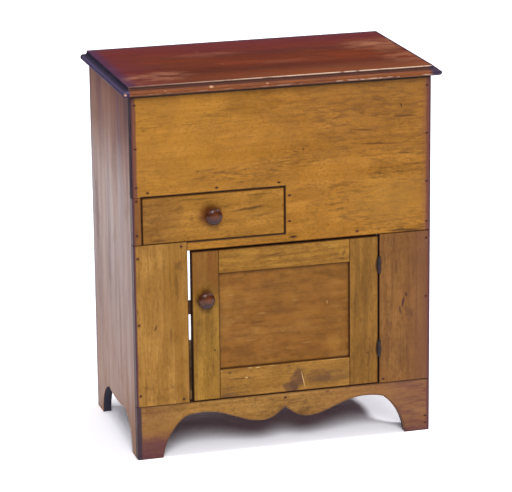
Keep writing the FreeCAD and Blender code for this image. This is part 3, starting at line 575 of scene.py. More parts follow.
gold = pine(
    "front_board_pine", "X", 21,
    pale=(204, 140, 51), deep=(178, 117, 27), fleck=(106, 68, 10), flecks=0.85, smudge=0.30,
)
toward_right = gold.between(gold.x, -0.16, 0.20)
gold.tint((216, 154, 60), gold.between(gold.x, 0.0, -0.26) * 0.22)
olive = gold.patches(run("X", 24, 130), 23, 0.45, 0.66, 5, 0.7)
patches = gold.patches(run("X", 7, 12), 29, 0.36, 0.56)
gold.tint((114, 76, 20), olive * patches * toward_right * 0.85)
gold.tint((136, 90, 34), gold.between(gold.z, 0.66, 0.82) * toward_right * olive * 0.7)
gold.tint((146, 92, 48), toward_right * gold.between(gold.z, 0.60, 0.80) * 0.28)
cloudy = gold.patches((11, 11, 15), 27, 0.42, 0.62, 4, 0.6)
gold.tint((146, 98, 40), cloudy * 0.26)
cleaner = gold.spot(on_front(600, 565), (0.15, 0.05, 0.075), soft=0.8, ragged=0.06)
gold.tint((188, 135, 56), cleaner * 0.45)
over_drawer = gold.spot(on_front(235, 652), (0.16, 0.05, 0.035), soft=0.9, ragged=0.04)
gold.tint((112, 76, 30), over_drawer * olive)
dark_marks(gold, (72, 36, 8), [
    (629, 784, 6, 13, 0, 0.95),
    (397, 698.5, 6, 6, 0, 0.95),
    (380, 694, 26, 5, 20, 0.6),
    (304.4, 770, 5, 4, 0, 0.6),
    (316.7, 676, 12, 4, 0, 0.5),
    (474, 765.5, 78, 2.8, -26, 0.5),
    (460, 754, 42, 2.6, -14, 0.5),
    (531, 779, 50, 30, 0, 0.6),
    (590, 765, 90, 40, 0, 0.45),
    (560, 802, 120, 30, 0, 0.4),
    (175, 830, 40, 16, 0, 0.45),
    (81, 799, 50, 16, 0, 0.35),
    (29, 767, 14, 8, 0, 0.4),
    (152, 666, 8, 4, 0, 0.8),
    (639, 758, 90, 5, 2, 0.55),
    (567, 699, 125, 6, 3, 0.6),
    (535, 733, 100, 6, 6, 0.5),
    (640, 672, 65, 6, 3, 0.55),
    (600, 640, 140, 44, 0, 0.5),
    (372, 496.7, 30, 8.8, 0, 1.0),
    (560, 500, 200, 12, 2, 0.45),
    (640, 490, 120, 8, 3, 0.8),
])
nail_stains(gold, "X", "front_board")
from_right = case_high.x - gold.x + (patches - 0.5) * 0.008
gold.tint((140, 84, 60), gold.between(from_right, 0.030, 0.008) * 0.60)
corner_stain(gold, left=0.0118, right=0.0105, seed=31)
joint_dirt(gold, "front_board", left=0, right=0, below=0.0032)
opening_low, opening_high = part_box("drawer_front")
beside = (opening_low.x - gold.x).most(gold.x - opening_high.x)
outside = beside.most(gold.z - opening_high.z).most(opening_low.z - gold.z)
# A dark band round the drawer's opening: a dark joint, and painted shade in the gap.
gold.tint((38, 14, 2), gold.between(outside, 0.0048, 0.0026) * 0.92)
gold_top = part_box("front_board")[1].z
shade_line = gold.between(gold.z, gold_top - UNDER_LID, gold_top - UNDER_LID + 0.0025)
gold.tint((20, 11, 7), shade_line * 0.95)
raw_behind(gold, "front_board")
end_grain(gold)
board = eased("front_board", BOARD_EASE)
piece("front_board_wood", board, ["front_board"], gold.close(gloss=FRONT_GLOSS))

strip = pine(
    "drawer_strip_pine", "Z", 33,
    pale=(166, 110, 46), deep=(134, 84, 36), fleck=(82, 42, 10),
)
left_stile = pine(
    "left_stile_pine", "Z", 37,
    pale=(193, 140, 64), deep=(150, 103, 32), fleck=(99, 65, 18), flecks=0.52, smudge=0.42,
)
dark_marks(left_stile, (84, 50, 14), [
    (47.8, 311, 8, 22, 30, 0.75),
    (6.4, 352, 6, 22, 0, 0.5),
    (95, 420, 10, 60, 0, 0.55),
    (104, 452, 34, 22, 0, 0.95),
    (98, 400, 12, 90, 0, 0.8),
    (83, 290, 6, 50, 0, 0.5),
    (30, 170, 40, 12, 0, 0.5),
    (75, 166, 60, 12, 0, 0.55),
    (60, 142, 110, 16, 0, 0.45),
])
right_stile = pine(
    "right_stile_pine", "Z", 43,
    pale=(158, 107, 50), deep=(122, 78, 28), fleck=(87, 51, 24), flecks=0.65,
)
browner = right_stile.between(right_stile.x, case_high.x - 0.075, case_high.x - 0.008)
right_stile.tint((124, 78, 54), browner * 0.6)
dark_marks(right_stile, (72, 38, 30), [
    (634.8, 318, 9, 34, 8, 1.0),
    (642, 336, 9, 18, -20, 0.8),
    (649.5, 292, 28, 44, 0, 0.8),
    (628, 300, 8, 30, -10, 0.7),
    (600, 250, 20, 160, 0, 0.45),
    (660, 400, 24, 140, 0, 0.25),
    (625, 200, 18, 120, 0, 0.4),
])
for name, node, wood, brushed, dirt in (
    ("drawer_strip_wood", "drawer_side_strip", strip, (0.0050, 0, 35), (0, 0.0030)),
    ("left_stile_wood", "stile_left", left_stile, (0.0045, 0, 39), (0, 0.0022, 0.0014)),
    ("right_stile_wood", "stile_right", right_stile, (0, 0.0080, 45), (0.0010, 0)),
):
    nail_stains(wood, "Z", node)
    corner_stain(wood, *brushed)
    joint_dirt(wood, node, *dirt)
    if node == "stile_right":
        iron_stain(wood)
    raw_behind(wood, node)
    board = eased(node, BOARD_EASE)
    piece(name, board, [node], wood.close(gloss=FRONT_GLOSS))

# ----------------------------------------- skirt
# One board sawn to two feet and a scalloped edge with a notch in the middle. The feet
# have drawn up damp and dirt from floors, and the ends keep the stain of the sides.

RIM_WIDTH = 0.0022
FACING_FRONT = -0.99
skirt = pine(
    "skirt_pine", "X", 47,
    pale=(191, 141, 70), deep=(154, 108, 40), fleck=(95, 61, 22), flecks=1.0, smudge=0.85,
)
browner = skirt.between(skirt.x, -0.02, 0.28)
skirt.tint((144, 92, 60), browner * 0.55)
from_left = skirt.x - case_low.x
skirt.tint((140, 92, 56), skirt.between(from_left, 0.13, 0.05) * 0.4)
wet = skirt.noise((26, 26, 60), 49, 3) * 0.020
left_damp = skirt.between(skirt.z + wet, 0.078, 0.044) * skirt.between(from_left, 0.30, 0.20)
right_damp = skirt.between(skirt.z + wet, 0.030, 0.012) * skirt.between(from_left, 0.40, 0.50)
skirt.tint((91, 45, 58), left_damp.most(right_damp) * (skirt.streaks * 0.35 + 0.65))
right_foot = skirt.between(from_left, 0.56, 0.66)
foot_streaks = skirt.patches(run("X", 12, 60), 51, 0.40, 0.62, 4, 0.7)
skirt.tint((120, 78, 70), right_foot * 0.30)
skirt.tint((104, 60, 52), right_foot * foot_streaks * 0.70)
dark_marks(skirt, (80, 44, 14), [
    (299, 86, 30, 14, 0, 0.65),
    (400, 99.6, 18, 14, 30, 0.7),
    (452, 120, 16, 6, 0, 0.6),
    (380, 108, 50, 6, -6, 0.4),
    (200, 116, 120, 10, 0, 0.35),
    (100, 104, 80, 24, 0, 0.3),
])
nail_stains(skirt, "X", "skirt")
ragged = (skirt.noise((60, 60, 30), 53, 3) - 0.5) * 0.006
skirt.tint((52, 38, 54), skirt.between(from_left + ragged, 0.0120, 0.0085) * 0.92)
corner_stain(skirt, left=0, right=0.0080, seed=55)
joint_dirt(skirt, "skirt", left=0, right=0, below=0, above=0.0014)
raw_behind(skirt, "skirt")
skirt_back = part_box("skirt")[1].y
# The skirt's back is painted dark mauve: painted shade under the case.
back_painted_shade = skirt.between(skirt.y, skirt_back - FACE_GONE, skirt_back - FACE_ENDS)
skirt.tint((88, 66, 74), back_painted_shade * 0.8)


def rimmed(work, width):
    """Marks a strip of a board's face along its sawn outline, where dirt gathers."""
    layer = work.faces.layers.float.new("rim")
    level = [face for face in work.faces if face.normal.y < FACING_FRONT]
    widest = max(level, key=lambda face: face.calc_area())
    band = bmesh.ops.inset_region(
        work, faces=[widest], thickness=width, use_boundary=True, use_even_offset=True
    )["faces"]
    for face in band:
        face[layer] = 1.0
    return work


rim = skirt.node("ShaderNodeAttribute", output="Fac", attribute_name="rim")
skirt.tint((70, 42, 34), rim * (skirt.between(from_left, 0.30, 0.62) * 0.35 + 0.35))
board = rimmed(eased("skirt", BOARD_EASE), RIM_WIDTH)
piece("skirt_wood", board, ["skirt"], skirt.close(gloss=FRONT_GLOSS))

# ---------------------------------------- hinges
# Small cast butt hinges, two on the door and two under the back of the lid. The
# knuckles stand proud of the front; the leaves are screwed into the edges.

iron = Finish("hinge_iron", (42, 36, 40), 0.55)
pits = iron.noise((520,) * 3, 61, 4, 0.65)
brown = iron.patches((120,) * 3, 63, 0.50, 0.68, 4, 0.6)
iron.tint((74, 46, 36), brown * 0.5)
iron.roughness += (pits - 0.5) * 0.4
iron.relief += pits * 0.00015
hinge_iron = iron.close(gloss=0.4, metallic=0.4)
LEAF_EASE = 0.00025
SCREW_SEGMENTS = 28
# As parts of a screw's radius: its head in the leaf, half its slot's width, and the slot's depth.
HEAD_FIT = 0.97
SLOT_HALF = 0.16
SLOT_DEPTH = 0.35
# The slots of a row of screws stop anywhere, each this far round from the one before.
SLOT_TURN = 0.9


def screw_heads(node):
    """Countersunk heads with a sawn slot, on their shanks, one for each CAD screw."""
    work = bmesh.new()
    for number, (low, high) in enumerate(loose_parts(node)):
        size = high - low
        along = max(range(3), key=lambda axis: size[axis])
        radius = (sum(size) - size[along]) / 4
        circle = bmesh.ops.create_circle(
            work, cap_ends=True, segments=SCREW_SEGMENTS, radius=radius * HEAD_FIT
        )["verts"]
        face = circle[0].link_faces[0]
        raised = bmesh.ops.extrude_face_region(work, geom=[face])["geom"]
        tops = [item for item in raised if isinstance(item, bmesh.types.BMVert)]
        bmesh.ops.translate(work, verts=tops, vec=(0.0, 0.0, -size[along]))
        verts = list(set(circle + tops))
        geom = verts + list({e for v in verts for e in v.link_edges})
        geom += list({f for v in verts for f in v.link_faces})
        for side in (-1.0, 1.0):
            cut = bmesh.ops.bisect_plane(
                work,
                geom=geom,
                plane_co=(0.0, side * radius * SLOT_HALF, 0.0),
                plane_no=(0.0, 1.0, 0.0),
            )
            geom = cut["geom"]
        verts = [item for item in geom if isinstance(item, bmesh.types.BMVert)]
        slot_faces = [
            item for item in geom
            if isinstance(item, bmesh.types.BMFace)
            and abs(item.calc_center_median().z) < TOUCHING
            and abs(item.calc_center_median().y) < radius * SLOT_HALF / 2
        ]
        sunk = bmesh.ops.extrude_face_region(work, geom=slot_faces)["geom"]
        floor = [item for item in sunk if isinstance(item, bmesh.types.BMVert)]
        bmesh.ops.translate(work, verts=floor, vec=(0.0, 0.0, -radius * SLOT_DEPTH))
        bmesh.ops.delete(work, geom=slot_faces, context="FACES_ONLY")
        verts = list(set(verts + floor))
        outward = screw_outward(node)
        axis = Matrix.Identity(3)[along] * outward
        turn = axis.to_track_quat("Z", "Y").to_matrix().to_4x4()
        spin = Matrix.Rotation(SLOT_TURN * number, 4, "Z")
        top = (low + high) / 2
        top[along] = high[along] if outward > 0 else low[along]
        bmesh.ops.transform(work, matrix=Matrix.Translation(top) @ turn @ spin, verts=verts)
    bmesh.ops.recalc_face_normals(work, faces=work.faces)
    return work


def screw_outward(node):
    """Which way the heads of a group of screws face along their axis."""
    return 1.0 if node in ("door_hinge_door_screws", "lid_hinge_case_screws") else -1.0


for pair, mover in (("door_hinge", "door"), ("lid_hinge", "lid")):
    for leaves in (f"{pair}_case_leaves", f"{pair}_{mover}_leaves"):
        work = eased(leaves, LEAF_EASE, step=0.1, rub=0.0)
        piece(f"{leaves}_iron", work, [leaves], hinge_iron)
    pins = f"{pair}_pins"
    work = eased(pins, IRON_EASE, step=0.1, rub=0.0)
    piece(f"{pins}_iron", work, [pins], hinge_iron)
    for screws in (f"{pair}_case_screws", f"{pair}_{mover}_screws"):
        piece(f"{screws}_iron", screw_heads(screws), [screws], hinge_iron, smooth=40)

# ------------------------------------------ door
# Stiles run through; rails are tenoned between them and the flat panel floats in
# grooves. The door is a shade browner than the case, darkest where a hand took it.

FINE_EASE = 0.0008


def door_finish(name, grain, seed, pale, deep, marks, flecks=0.7):
    """The case's golden finish a shade browner, with this piece's own marks."""
    wood = pine(
        name, grain, seed,
        pale=pale, deep=deep, fleck=(91, 57, 14), flecks=flecks, smudge=0.40,
    )
    dark_marks(wood, (78, 42, 10), marks)
    return wood


lock = door_finish("lock_stile_pine", "Z", 71, (186, 137, 52), (146, 103, 28), [
    (184.8, 246, 6, 9, 0, 0.9),
    (163, 430, 52, 50, 0, 0.5),
    (163, 392.5, 52, 30, 0, 0.55),
    (140, 190, 10, 14, 0, 0.5),
    (150, 300, 12, 80, 0, 0.4),
])
rubbed_up = lock.patches(run("Z", 7, 60), 72, 0.30, 0.66, 4, 0.6) * 0.35
handled = lock.between(lock.z, 0.34, 0.42)
lock.tint((128, 74, 20), handled * (0.85 - rubbed_up))
lock.tint((96, 56, 28), handled * lock.streaks * lock.between(lock.streaks, 0.5, 0.9) * 0.4)
knob_grime = mark(lock, 164, 366, 54, 58, soft=0.5, ragged=20)
lock.tint((66, 32, 12), knob_grime * 0.8)
hinge_stile = door_finish("hinge_stile_pine", "Z", 73, (170, 119, 44), (128, 85, 22), [
    (559, 206.5, 10, 12, 30, 0.85),
    (520.6, 345, 5, 5, 0, 0.75),
    (549, 204, 14, 8, 0, 0.5),
    (525, 215, 14, 60, 0, 0.5),
    (545, 330, 20, 90, 0, 0.4),
])
top_rail = door_finish("top_rail_pine", "X", 75, (190, 136, 50), (140, 92, 22), [
    (285, 452, 60, 10, -8, 0.65),
    (330, 460, 80, 6, -6, 0.55),
    (470, 447, 50, 12, 12, 0.6),
    (500, 436, 24, 30, 0, 0.6),
    (492, 448, 8.8, 26, 24, 0.55),
    (486, 436, 30, 8.8, 10, 0.6),
    (400, 466, 90, 10, -4, 0.5),
    (230, 466, 60, 14, 0, 0.45),
])
bottom_rail = door_finish("bottom_rail_pine", "X", 77, (190, 136, 58), (146, 101, 32), [
    (219, 187.5, 12, 8, 0, 0.6),
    (250, 172, 80, 12, 0, 0.8),
    (215, 150, 50, 20, 0, 0.7),
    (360, 190, 12, 5, 0, 0.6),
    (330, 150, 90, 14, 0, 0.4),
])
damp_grain = bottom_rail.patches((14, 14, 60), 76, 0.30, 0.56, 4, 0.6)
for *oval, strength in (
    (378, 156, 40, 66, 18, 0.95),
    (364, 140, 46, 30, 0, 0.8),
    (430, 158, 80, 44, 0, 0.65),
    (470, 156, 110, 36, 0, 0.4),
    (220, 135, 60, 14, 0, 0.6),
):
    damp = mark(bottom_rail, *oval, soft=0.4, ragged=20)
    bottom_rail.tint((92, 58, 38), damp * (damp_grain * 0.5 + 0.4) * strength)
pale_marks(bottom_rail, (214, 176, 116), [(393.5, 154.5, 3, 52, -12, 1.0)])
pale_marks(bottom_rail, (222, 184, 124), [
    (266.8, 195, 13, 3, 0, 0.9),
    (285.8, 194.5, 14, 3.5, 0, 0.9),
    (258.7, 172.7, 10, 5, 0, 0.8),
    (198, 193.5, 10, 2, 0, 0.6),
    (320, 195.3, 20, 1.6, 0, 0.6),
    (470, 195.3, 60, 1.6, 0, 0.6),
])
panel = door_finish("door_panel_pine", "X", 79, (159, 106, 38), (126, 77, 18), [
    (372, 270, 200, 12, 2, 0.5),
    (360, 330, 180, 50, 0, 0.3),
    (280, 300, 120, 9, 0, 0.45),
    (440, 315, 110, 12, 2, 0.45),
    (330, 385, 240, 20, 0, 0.4),
    (300, 225, 200, 14, 0, 0.45),
    (460, 240, 80, 14, 0, 0.4),
], flecks=0.5)
amber = panel.patches((24, 24, 56), 81, 0.42, 0.64, 4, 0.6)
panel.tint((168, 110, 36), amber * 0.45)
for *oval, strength in (
    (475, 235, 90, 70, 0.6),
    (215, 375, 50, 110, 0.6),
    (300, 205, 200, 30, 0.35),
    (380, 410, 240, 26, 0.3),
):
    golden = mark(panel, *oval, soft=0.9, ragged=30)
    panel.tint((182, 128, 52), golden * strength)
scuffed = panel.patches((26, 26, 80), 82, 0.46, 0.70, 4, 0.6)
scuff_zone = panel.patches((6, 6, 9), 84, 0.40, 0.64)
panel.tint((182, 132, 64), scuffed * scuff_zone * 0.42)
pale_marks(panel, (204, 158, 92), [
    (453.9, 332.3, 3.5, 14, 0, 0.8),
    (298.9, 320.7, 30, 6, 0, 0.32),
    (377.5, 344.2, 30, 6, 0, 0.25),
    (269.8, 259, 34, 5, 0, 0.3),
    (405, 240, 40, 6, 0, 0.28),
    (225, 370, 30, 5, 0, 0.32),
])
# Round the panel, next to the frame: painted shade in the recess, and a dark joint.
for distance, reach, strength in (
    (panel.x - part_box("door_stile_left")[1].x, 0.0042, 0.60),
    (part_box("door_stile_right")[0].x - panel.x, 0.0036, 0.50),
    (panel.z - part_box("door_rail_bottom")[1].z, 0.0056, 0.85),
    (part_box("door_rail_top")[0].z - panel.z, 0.0042, 0.60),
):
    panel.tint((60, 28, 6), panel.between(distance, reach, 0.0) * strength)
for node, wood, left, right, below, above in (
    ("door_stile_left", lock, 0.0022, 0.0024, 0.0022, 0.0024),
    ("door_stile_right", hinge_stile, 0.0018, 0.0014, 0.0022, 0.0026),
    ("door_rail_top", top_rail, 0.0014, 0.0014, 0.0016, 0.0026),
    ("door_rail_bottom", bottom_rail, 0.0014, 0.0012, 0.0026, 0),
    ("door_panel", panel, 0, 0, 0, 0),
):
    joint_dirt(wood, node, left, right, below, above)
    if node == "door_stile_right":
        iron_stain(wood)
    raw_behind(wood, node)
    board = eased(node, FINE_EASE)
    piece(f"{node}_wood", board, [node], wood.close(gloss=FRONT_GLOSS))

# --------------------------- knobs and the latch
# Turned hardwood knobs with a neck, a hollow under the head and a domed face, stained
# near black-red and varnished. The door's turns a pine bar behind the stile.

KNOBS = ("drawer_knob", "door_knob")
KNOB_STEPS = 64
varnish = Finish("knob_varnish", (80, 38, 20), 0.30)
rings = varnish.noise((60, 500, 60), 81, 3)
varnish.tint((46, 20, 16), varnish.between(rings, 0.42, 0.62) * 0.7)
for node in KNOBS:
    knob_low, knob_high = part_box(node)
    middle = ((knob_low.x + knob_high.x) / 2, knob_low.y, (knob_low.z + knob_high.z) / 2 + 0.002)
    worn = varnish.spot(middle, (0.016, 0.012, 0.014), soft=0.8, ragged=0.008)
    varnish.tint((124, 64, 30), worn * 0.55)
    beneath = (middle[0], knob_low.y + 0.004, middle[2] - 0.015)
    shaded = varnish.spot(beneath, (0.021, 0.012, 0.012), soft=0.7, ragged=0.004)
    varnish.tint((42, 18, 28), shaded * 0.85)
worn_face = varnish.patches((130,) * 3, 83, 0.52, 0.70, 4)
varnish.tint((122, 70, 42), worn_face * 0.35)
varnish.roughness += worn_face * 0.15
varnish.relief += worn_face * 0.00005
knob_varnish = varnish.close(gloss=0.2, coat=0.24, coat_roughness=0.04)

# From the shank to the face: the radius as a part of the head's, and millimetres behind the face.
KNOB_PROFILE = (
    (0.30, 27.2), (0.62, 26.8), (0.64, 25.0), (0.50, 23.6), (0.46, 20.5), (0.50, 18.0),
    (0.66, 15.8), (0.86, 14.6), (0.97, 12.8), (1.00, 10.6), (0.985, 8.4), (0.93, 6.2),
    (0.84, 4.4), (0.70, 2.7), (0.52, 1.3), (0.30, 0.4), (0.0, 0.0),
)


def turn_knob(node):
    """Spins a knob's profile about its axis: shank, neck, hollow, rim and dome."""
    low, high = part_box(node)
    head = (high.x - low.x) / 2
    axis_x, axis_z = (low.x + high.x) / 2, (low.z + high.z) / 2
    profile = [(0.0, high.y), (KNOB_PROFILE[0][0] * head, high.y)]
    profile += [(part * head, low.y + depth * MM) for part, depth in KNOB_PROFILE]
    work = bmesh.new()
    verts = [work.verts.new((axis_x + across, y, axis_z)) for across, y in profile]
    edges = [work.edges.new(pair) for pair in zip(verts, verts[1:])]
    bmesh.ops.spin(
        work,
        geom=verts + edges,
        cent=(axis_x, 0.0, axis_z),
        axis=(0.0, 1.0, 0.0),
        angle=math.tau,
        steps=KNOB_STEPS,
        use_merge=True,
    )
    bmesh.ops.remove_doubles(work, verts=work.verts, dist=TOUCHING)
    bmesh.ops.recalc_face_normals(work, faces=work.faces)
    return work


for node in KNOBS:
    piece(f"{node}_turning", turn_knob(node), [node], knob_varnish, smooth=50)
latch_pine = inner_finish("latch_pine", "Z", 85, (140, 100, 64), (112, 76, 50))
bar = eased("latch_bar", FINE_EASE)
piece("latch_bar_wood", bar, ["latch_bar"], latch_pine)

# ---------------------------------------- drawer
# The front laps its sides with half-blind dovetails; the bottom slides in grooves.
# Only the front is finished, with olive streaks and a dark ring round the knob.

THIN_EASE = 0.0004
drawer = pine(
    "drawer_front_pine", "X", 87,
    pale=(200, 140, 54), deep=(162, 108, 26), fleck=(91, 59, 10), flecks=0.85, smudge=0.40,
)
dark_marks(drawer, (82, 50, 8), [
    (51, 563, 45, 18, -4, 0.8),
    (46, 540, 50, 34, 0, 0.7),
    (45, 526, 60, 14, -2, 0.9),
    (60, 514, 50, 9, 0, 0.6),
    (102, 584, 60, 12, 0, 0.85),
    (136, 556, 24, 16, 0, 0.75),
    (90, 545, 60, 10, 0, 0.55),
    (171, 590, 70, 20, 0, 0.7),
    (215, 583, 60, 10, -4, 0.7),
    (270, 572, 110, 9, -6, 0.75),
    (290, 603, 80, 6, 0, 0.5),
    (150, 603, 140, 6, 0, 0.45),
    (300, 555, 80, 9, -6, 0.45),
])
by_left = drawer.between(drawer.x - case_low.x, 0.150, 0.060)
drawer.tint((120, 78, 38), by_left * 0.30)
# A dark ring round the knob: grime from hands, and a painted shadow of the knob.
grime_and_shadow_ring = mark(drawer, 178, 563, 72, 64, soft=0.6, ragged=20)
drawer.tint((98, 46, 12), grime_and_shadow_ring * 0.9)
joint_dirt(drawer, "drawer_front", left=0.0030, right=0.0040, below=0.0026, above=0.0044)
raw_behind(drawer, "drawer_front")
board = eased("drawer_front", FINE_EASE)
piece("drawer_front_wood", board, ["drawer_front"], drawer.close(gloss=FRONT_GLOSS))
for node, material in (
    ("drawer_side_left", depth_pine),
    ("drawer_side_right", depth_pine),
    ("drawer_back", level_pine),
    ("drawer_bottom", depth_pine),
):
    piece(f"{node}_wood", eased(node, THIN_EASE), [node], material)

# ------------------------------------------- lid
# One wide board with a cove-and-nose moulding worked on its front and both ends. The
# red stain is dark and satin, clouded by wet cups, and rubbed to pale wood on the arris,
# with painted highlights on the arrises and painted shade in the cove and under the nose.

lid_low, lid_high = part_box("lid_board")
EDGE_MARGIN = 0.015
NOSE_TOP = lid_low.z + 0.014


def lid_finish():
    """The lid's red-brown stain, figured along the board and worn on its mouldings."""
    wood = Finish("lid_stain", (131, 54, 19), 0.32)
    wood.bend((1.3, 5, 5), 91, 0.03)
    figure = wood.patches((1.6, 22, 22), 92, 0.34, 0.68, 3, 0.6)
    lines = wood.patches((5, 150, 150), 93, 0.50, 0.68)
    pores = wood.noise((70, 1200, 1200), 94, 2)
    mottle = wood.patches((30, 60, 60), 98, 0.44, 0.64, 4, 0.6)
    broad = wood.patches((3, 9, 9), 90, 0.36, 0.64, 3, 0.6)
    wood.tint((94, 36, 11), figure * 0.52)
    wood.tint((84, 28, 16), broad * 0.62)
    wood.tint((58, 22, 12), lines * 0.52 + mottle * 0.22)
    darker = wood.spot((-0.05, lid_low.y + 0.11, lid_high.z), (0.42, 0.09, 0.1), soft=1.0)
    wood.tint((80, 30, 12), darker * 0.60)
    from_back = wood.between(wood.y, lid_high.y - 0.20, lid_high.y - 0.02)
    from_left = wood.between(wood.x, lid_low.x + 0.18, lid_low.x + 0.01)
    wood.tint((109, 36, 46), from_back.most(from_left) * 0.70)
    by_hand = wood.between(wood.y, lid_low.y + 0.13, lid_low.y + 0.03)
    more_right = wood.between(wood.x, -0.34, 0.10) * 0.75 + 0.25
    wood.tint((156, 84, 38), by_hand * more_right * 0.42)
    lid_clouds(wood)
    lid_edges(wood, more_right)
    below = wood.between(wood.z, lid_low.z + 0.0009, lid_low.z + 0.0003)
    bare = below * wood.between(wood.y, front_face, front_face + 0.004)
    wood.tint((158, 114, 72), bare)
    wood.tint((122, 82, 50), bare * figure * 0.6)
    wood.tint((100, 66, 42), bare * lines.most(mottle) * 0.35)
    wood.roughness += (figure - 0.5) * 0.08 + lines * 0.05
    wood.relief += figure * 0.00020 - lines * 0.00008 + pores * 0.00003
    return wood.close(gloss=0.28)


def lid_clouds(wood):
    """Pale bloom left by wet cups, placed in millimetres from the case's left and front."""
    mist = wood.patches((12, 34, 34), 95, 0.36, 0.60, 5, 0.65)
    for left, back, width, depth, strength in (
        (60, 70, 260, 130, 0.72),
        (110, 100, 140, 80, 0.4),
        (665, 270, 260, 180, 0.72),
        (680, 120, 160, 300, 0.5),
        (250, 270, 260, 60, 0.34),
        (400, 150, 400, 50, 0.16),
    ):
        centre = (case_low.x + left * MM, front_face + back * MM, lid_high.z)
        radii = (width / 2 * MM, depth / 2 * MM, 0.05)
        cloud = wood.spot(centre, radii, soft=0.95, ragged=0.06) * mist
        wood.tint((178, 114, 80), cloud * strength)
        wood.roughness += cloud * 0.12


def lid_edges(wood, more_right):
    """Painted shade in the hollows and under the nose, an orange nose rubbed by hands with
    painted highlights, and blue-black mouldings at the ends.
    """
    from_front = wood.y - lid_low.y
    front = wood.between(from_front, EDGE_MARGIN + 0.0012, EDGE_MARGIN + 0.0002)
    left = wood.between(wood.x, lid_low.x + EDGE_MARGIN + 0.002, lid_low.x + EDGE_MARGIN)
    moulded = wood.between(wood.z, lid_high.z - 0.0004, lid_high.z - 0.0012)
    streaks = wood.patches((18, 300, 300), 99, 0.40, 0.64, 4, 0.6)
    wood.tint((141, 77, 32), front * moulded)
    wood.tint((92, 42, 30), front * moulded * streaks * 0.7)
    # The cove between the top and the nose: painted shade.
    hollow = wood.between(wood.z, NOSE_TOP - 0.0012, NOSE_TOP + 0.0004) * moulded
    wood.tint((66, 32, 26), hollow * 0.85)
    # The lowest part of the nose is painted near black: painted shade under the lid.
    wood.tint((30, 14, 10), wood.between(wood.z, lid_low.z + 0.0036, lid_low.z + 0.0012) * 0.9)
    # A pale line along the top arris: wood rubbed bare, and a painted highlight, stronger to the
    # right.
    rubbed = wood.patches((38, 90, 90), 96, 0.28, 0.52, 4, 0.6)
    top_arris_rub_and_highlight = wood.between(abs(from_front - EDGE_MARGIN - 0.0006), 0.0030, 0.0008)
    top_arris_rub_and_highlight = top_arris_rub_and_highlight * wood.between(wood.z, lid_high.z - 0.0030, lid_high.z - 0.0006)
    wood.tint((234, 204, 178), top_arris_rub_and_highlight * rubbed * more_right * (1 - left))
    # Pale lines on the nose's arris: rubbed wood, and a painted highlight, mostly on the right.
    nose_rub_and_highlight = wood.patches((46, 120, 120), 97, 0.50, 0.64)
    nose_arris = wood.between(abs(wood.z - lid_low.z - 0.0050), 0.0022, 0.0006)
    far_right = wood.between(wood.x, -0.10, 0.20)
    wood.tint((216, 184, 160), nose_rub_and_highlight * nose_arris * front * (far_right * 0.75 + 0.2))
    wood.tint((50, 40, 82), left * moulded * 0.88)
    # A painted highlight along the top of the nose at the left end.
    painted_nose_highlight = wood.between(abs(wood.z - NOSE_TOP + 0.0022), 0.0024, 0.0006)
    wood.tint((98, 92, 126), left * moulded * painted_nose_highlight * 0.55)
    # Painted shade in the cove of the left end.
    wood.tint((30, 24, 38), left * hollow * 0.7)
    wood.tint((72, 40, 66), left * (1 - moulded) * 0.40)
    inward = wood.x - lid_low.x - EDGE_MARGIN + (streaks - 0.5) * 0.004
    wood.tint((74, 44, 80), wood.between(inward, 0.034, 0.002) * (1 - moulded) * 0.75)
    right_arris = lid_high.x - EDGE_MARGIN
    near_right = wood.between(wood.x, right_arris - 0.011, right_arris - 0.002)
    wood.tint((60, 34, 56), near_right * 0.85)
    right_end = wood.between(wood.x, lid_high.x - 0.034, lid_high.x - 0.020)
    wood.tint((52, 38, 66), right_end * front * moulded * 0.8)
    behind = wood.between(wood.y, lid_high.y - 0.022, lid_high.y - 0.006)
    wood.tint((60, 34, 56), behind * 0.80)
    wood.roughness += behind * 0.40
    wood.roughness += left * moulded * 0.40
    worn_corner = (lid_low.x + 0.006, lid_low.y + 0.003, lid_low.z + 0.007)
    wood.tint((228, 178, 142), wood.spot(worn_corner, (0.005, 0.008, 0.004), ragged=0.004))
    for left_end, from_edge, below_top, size, strength in (
        (201, 3, 10, 6.5, 0.85),
        (96, 3, 12, 4, 0.6),
        (330, 2, 11, 4.5, 0.6),
        (254, 327, 0, 4, 0.55),
        (275, 181, 0, 3.5, 0.6),
    ):
        place = Vector((left_end, from_edge, -below_top)) * MM
        centre = Vector((lid_low.x, lid_low.y, lid_high.z)) + place
        chip = wood.spot(centre, (size * MM, size * MM, size * 0.6 * MM), ragged=0.004)
        wood.tint((214, 168, 128), chip * strength)


WEAR_STEP = 0.012
LID_EASE = 0.0006
# How deep the arrises are worn, in parts of LID_EASE: at the two front corners, and between.
CORNER_WEAR = 2.0
EDGE_WEAR = 0.7


def worn_lid():
    """The lid with its arrises rounded, then dented by knocks along all three mouldings."""
    work = merged("lid_board")
    round_over(work, LID_EASE, segments=2)
    for axis in (0, 1):
        length = lid_high[axis] - lid_low[axis]
        steps = int(length / WEAR_STEP)
        across = Matrix.Identity(3)[axis].copy()
        for number in range(1, steps):
            place = lid_low + across * (length * number / steps)
            everything = work.verts[:] + work.edges[:] + work.faces[:]
            bmesh.ops.bisect_plane(work, geom=everything, plane_co=place, plane_no=across)
    work.normal_update()
    for vert in work.verts:
        from_end = min(vert.co.x - lid_low.x, lid_high.x - vert.co.x)
        from_edge = min(from_end, vert.co.y - lid_low.y)
        if from_edge < EDGE_MARGIN + LID_EASE and vert.co.z > lid_low.z + LID_EASE:
            knocked = from_end < EDGE_MARGIN and vert.co.y < lid_low.y + EDGE_MARGIN
            wear_down(vert, LID_EASE * (CORNER_WEAR if knocked else EDGE_WEAR))
    return work


piece("lid_board_wood", worn_lid(), ["lid_board"], lid_finish(), smooth=25)

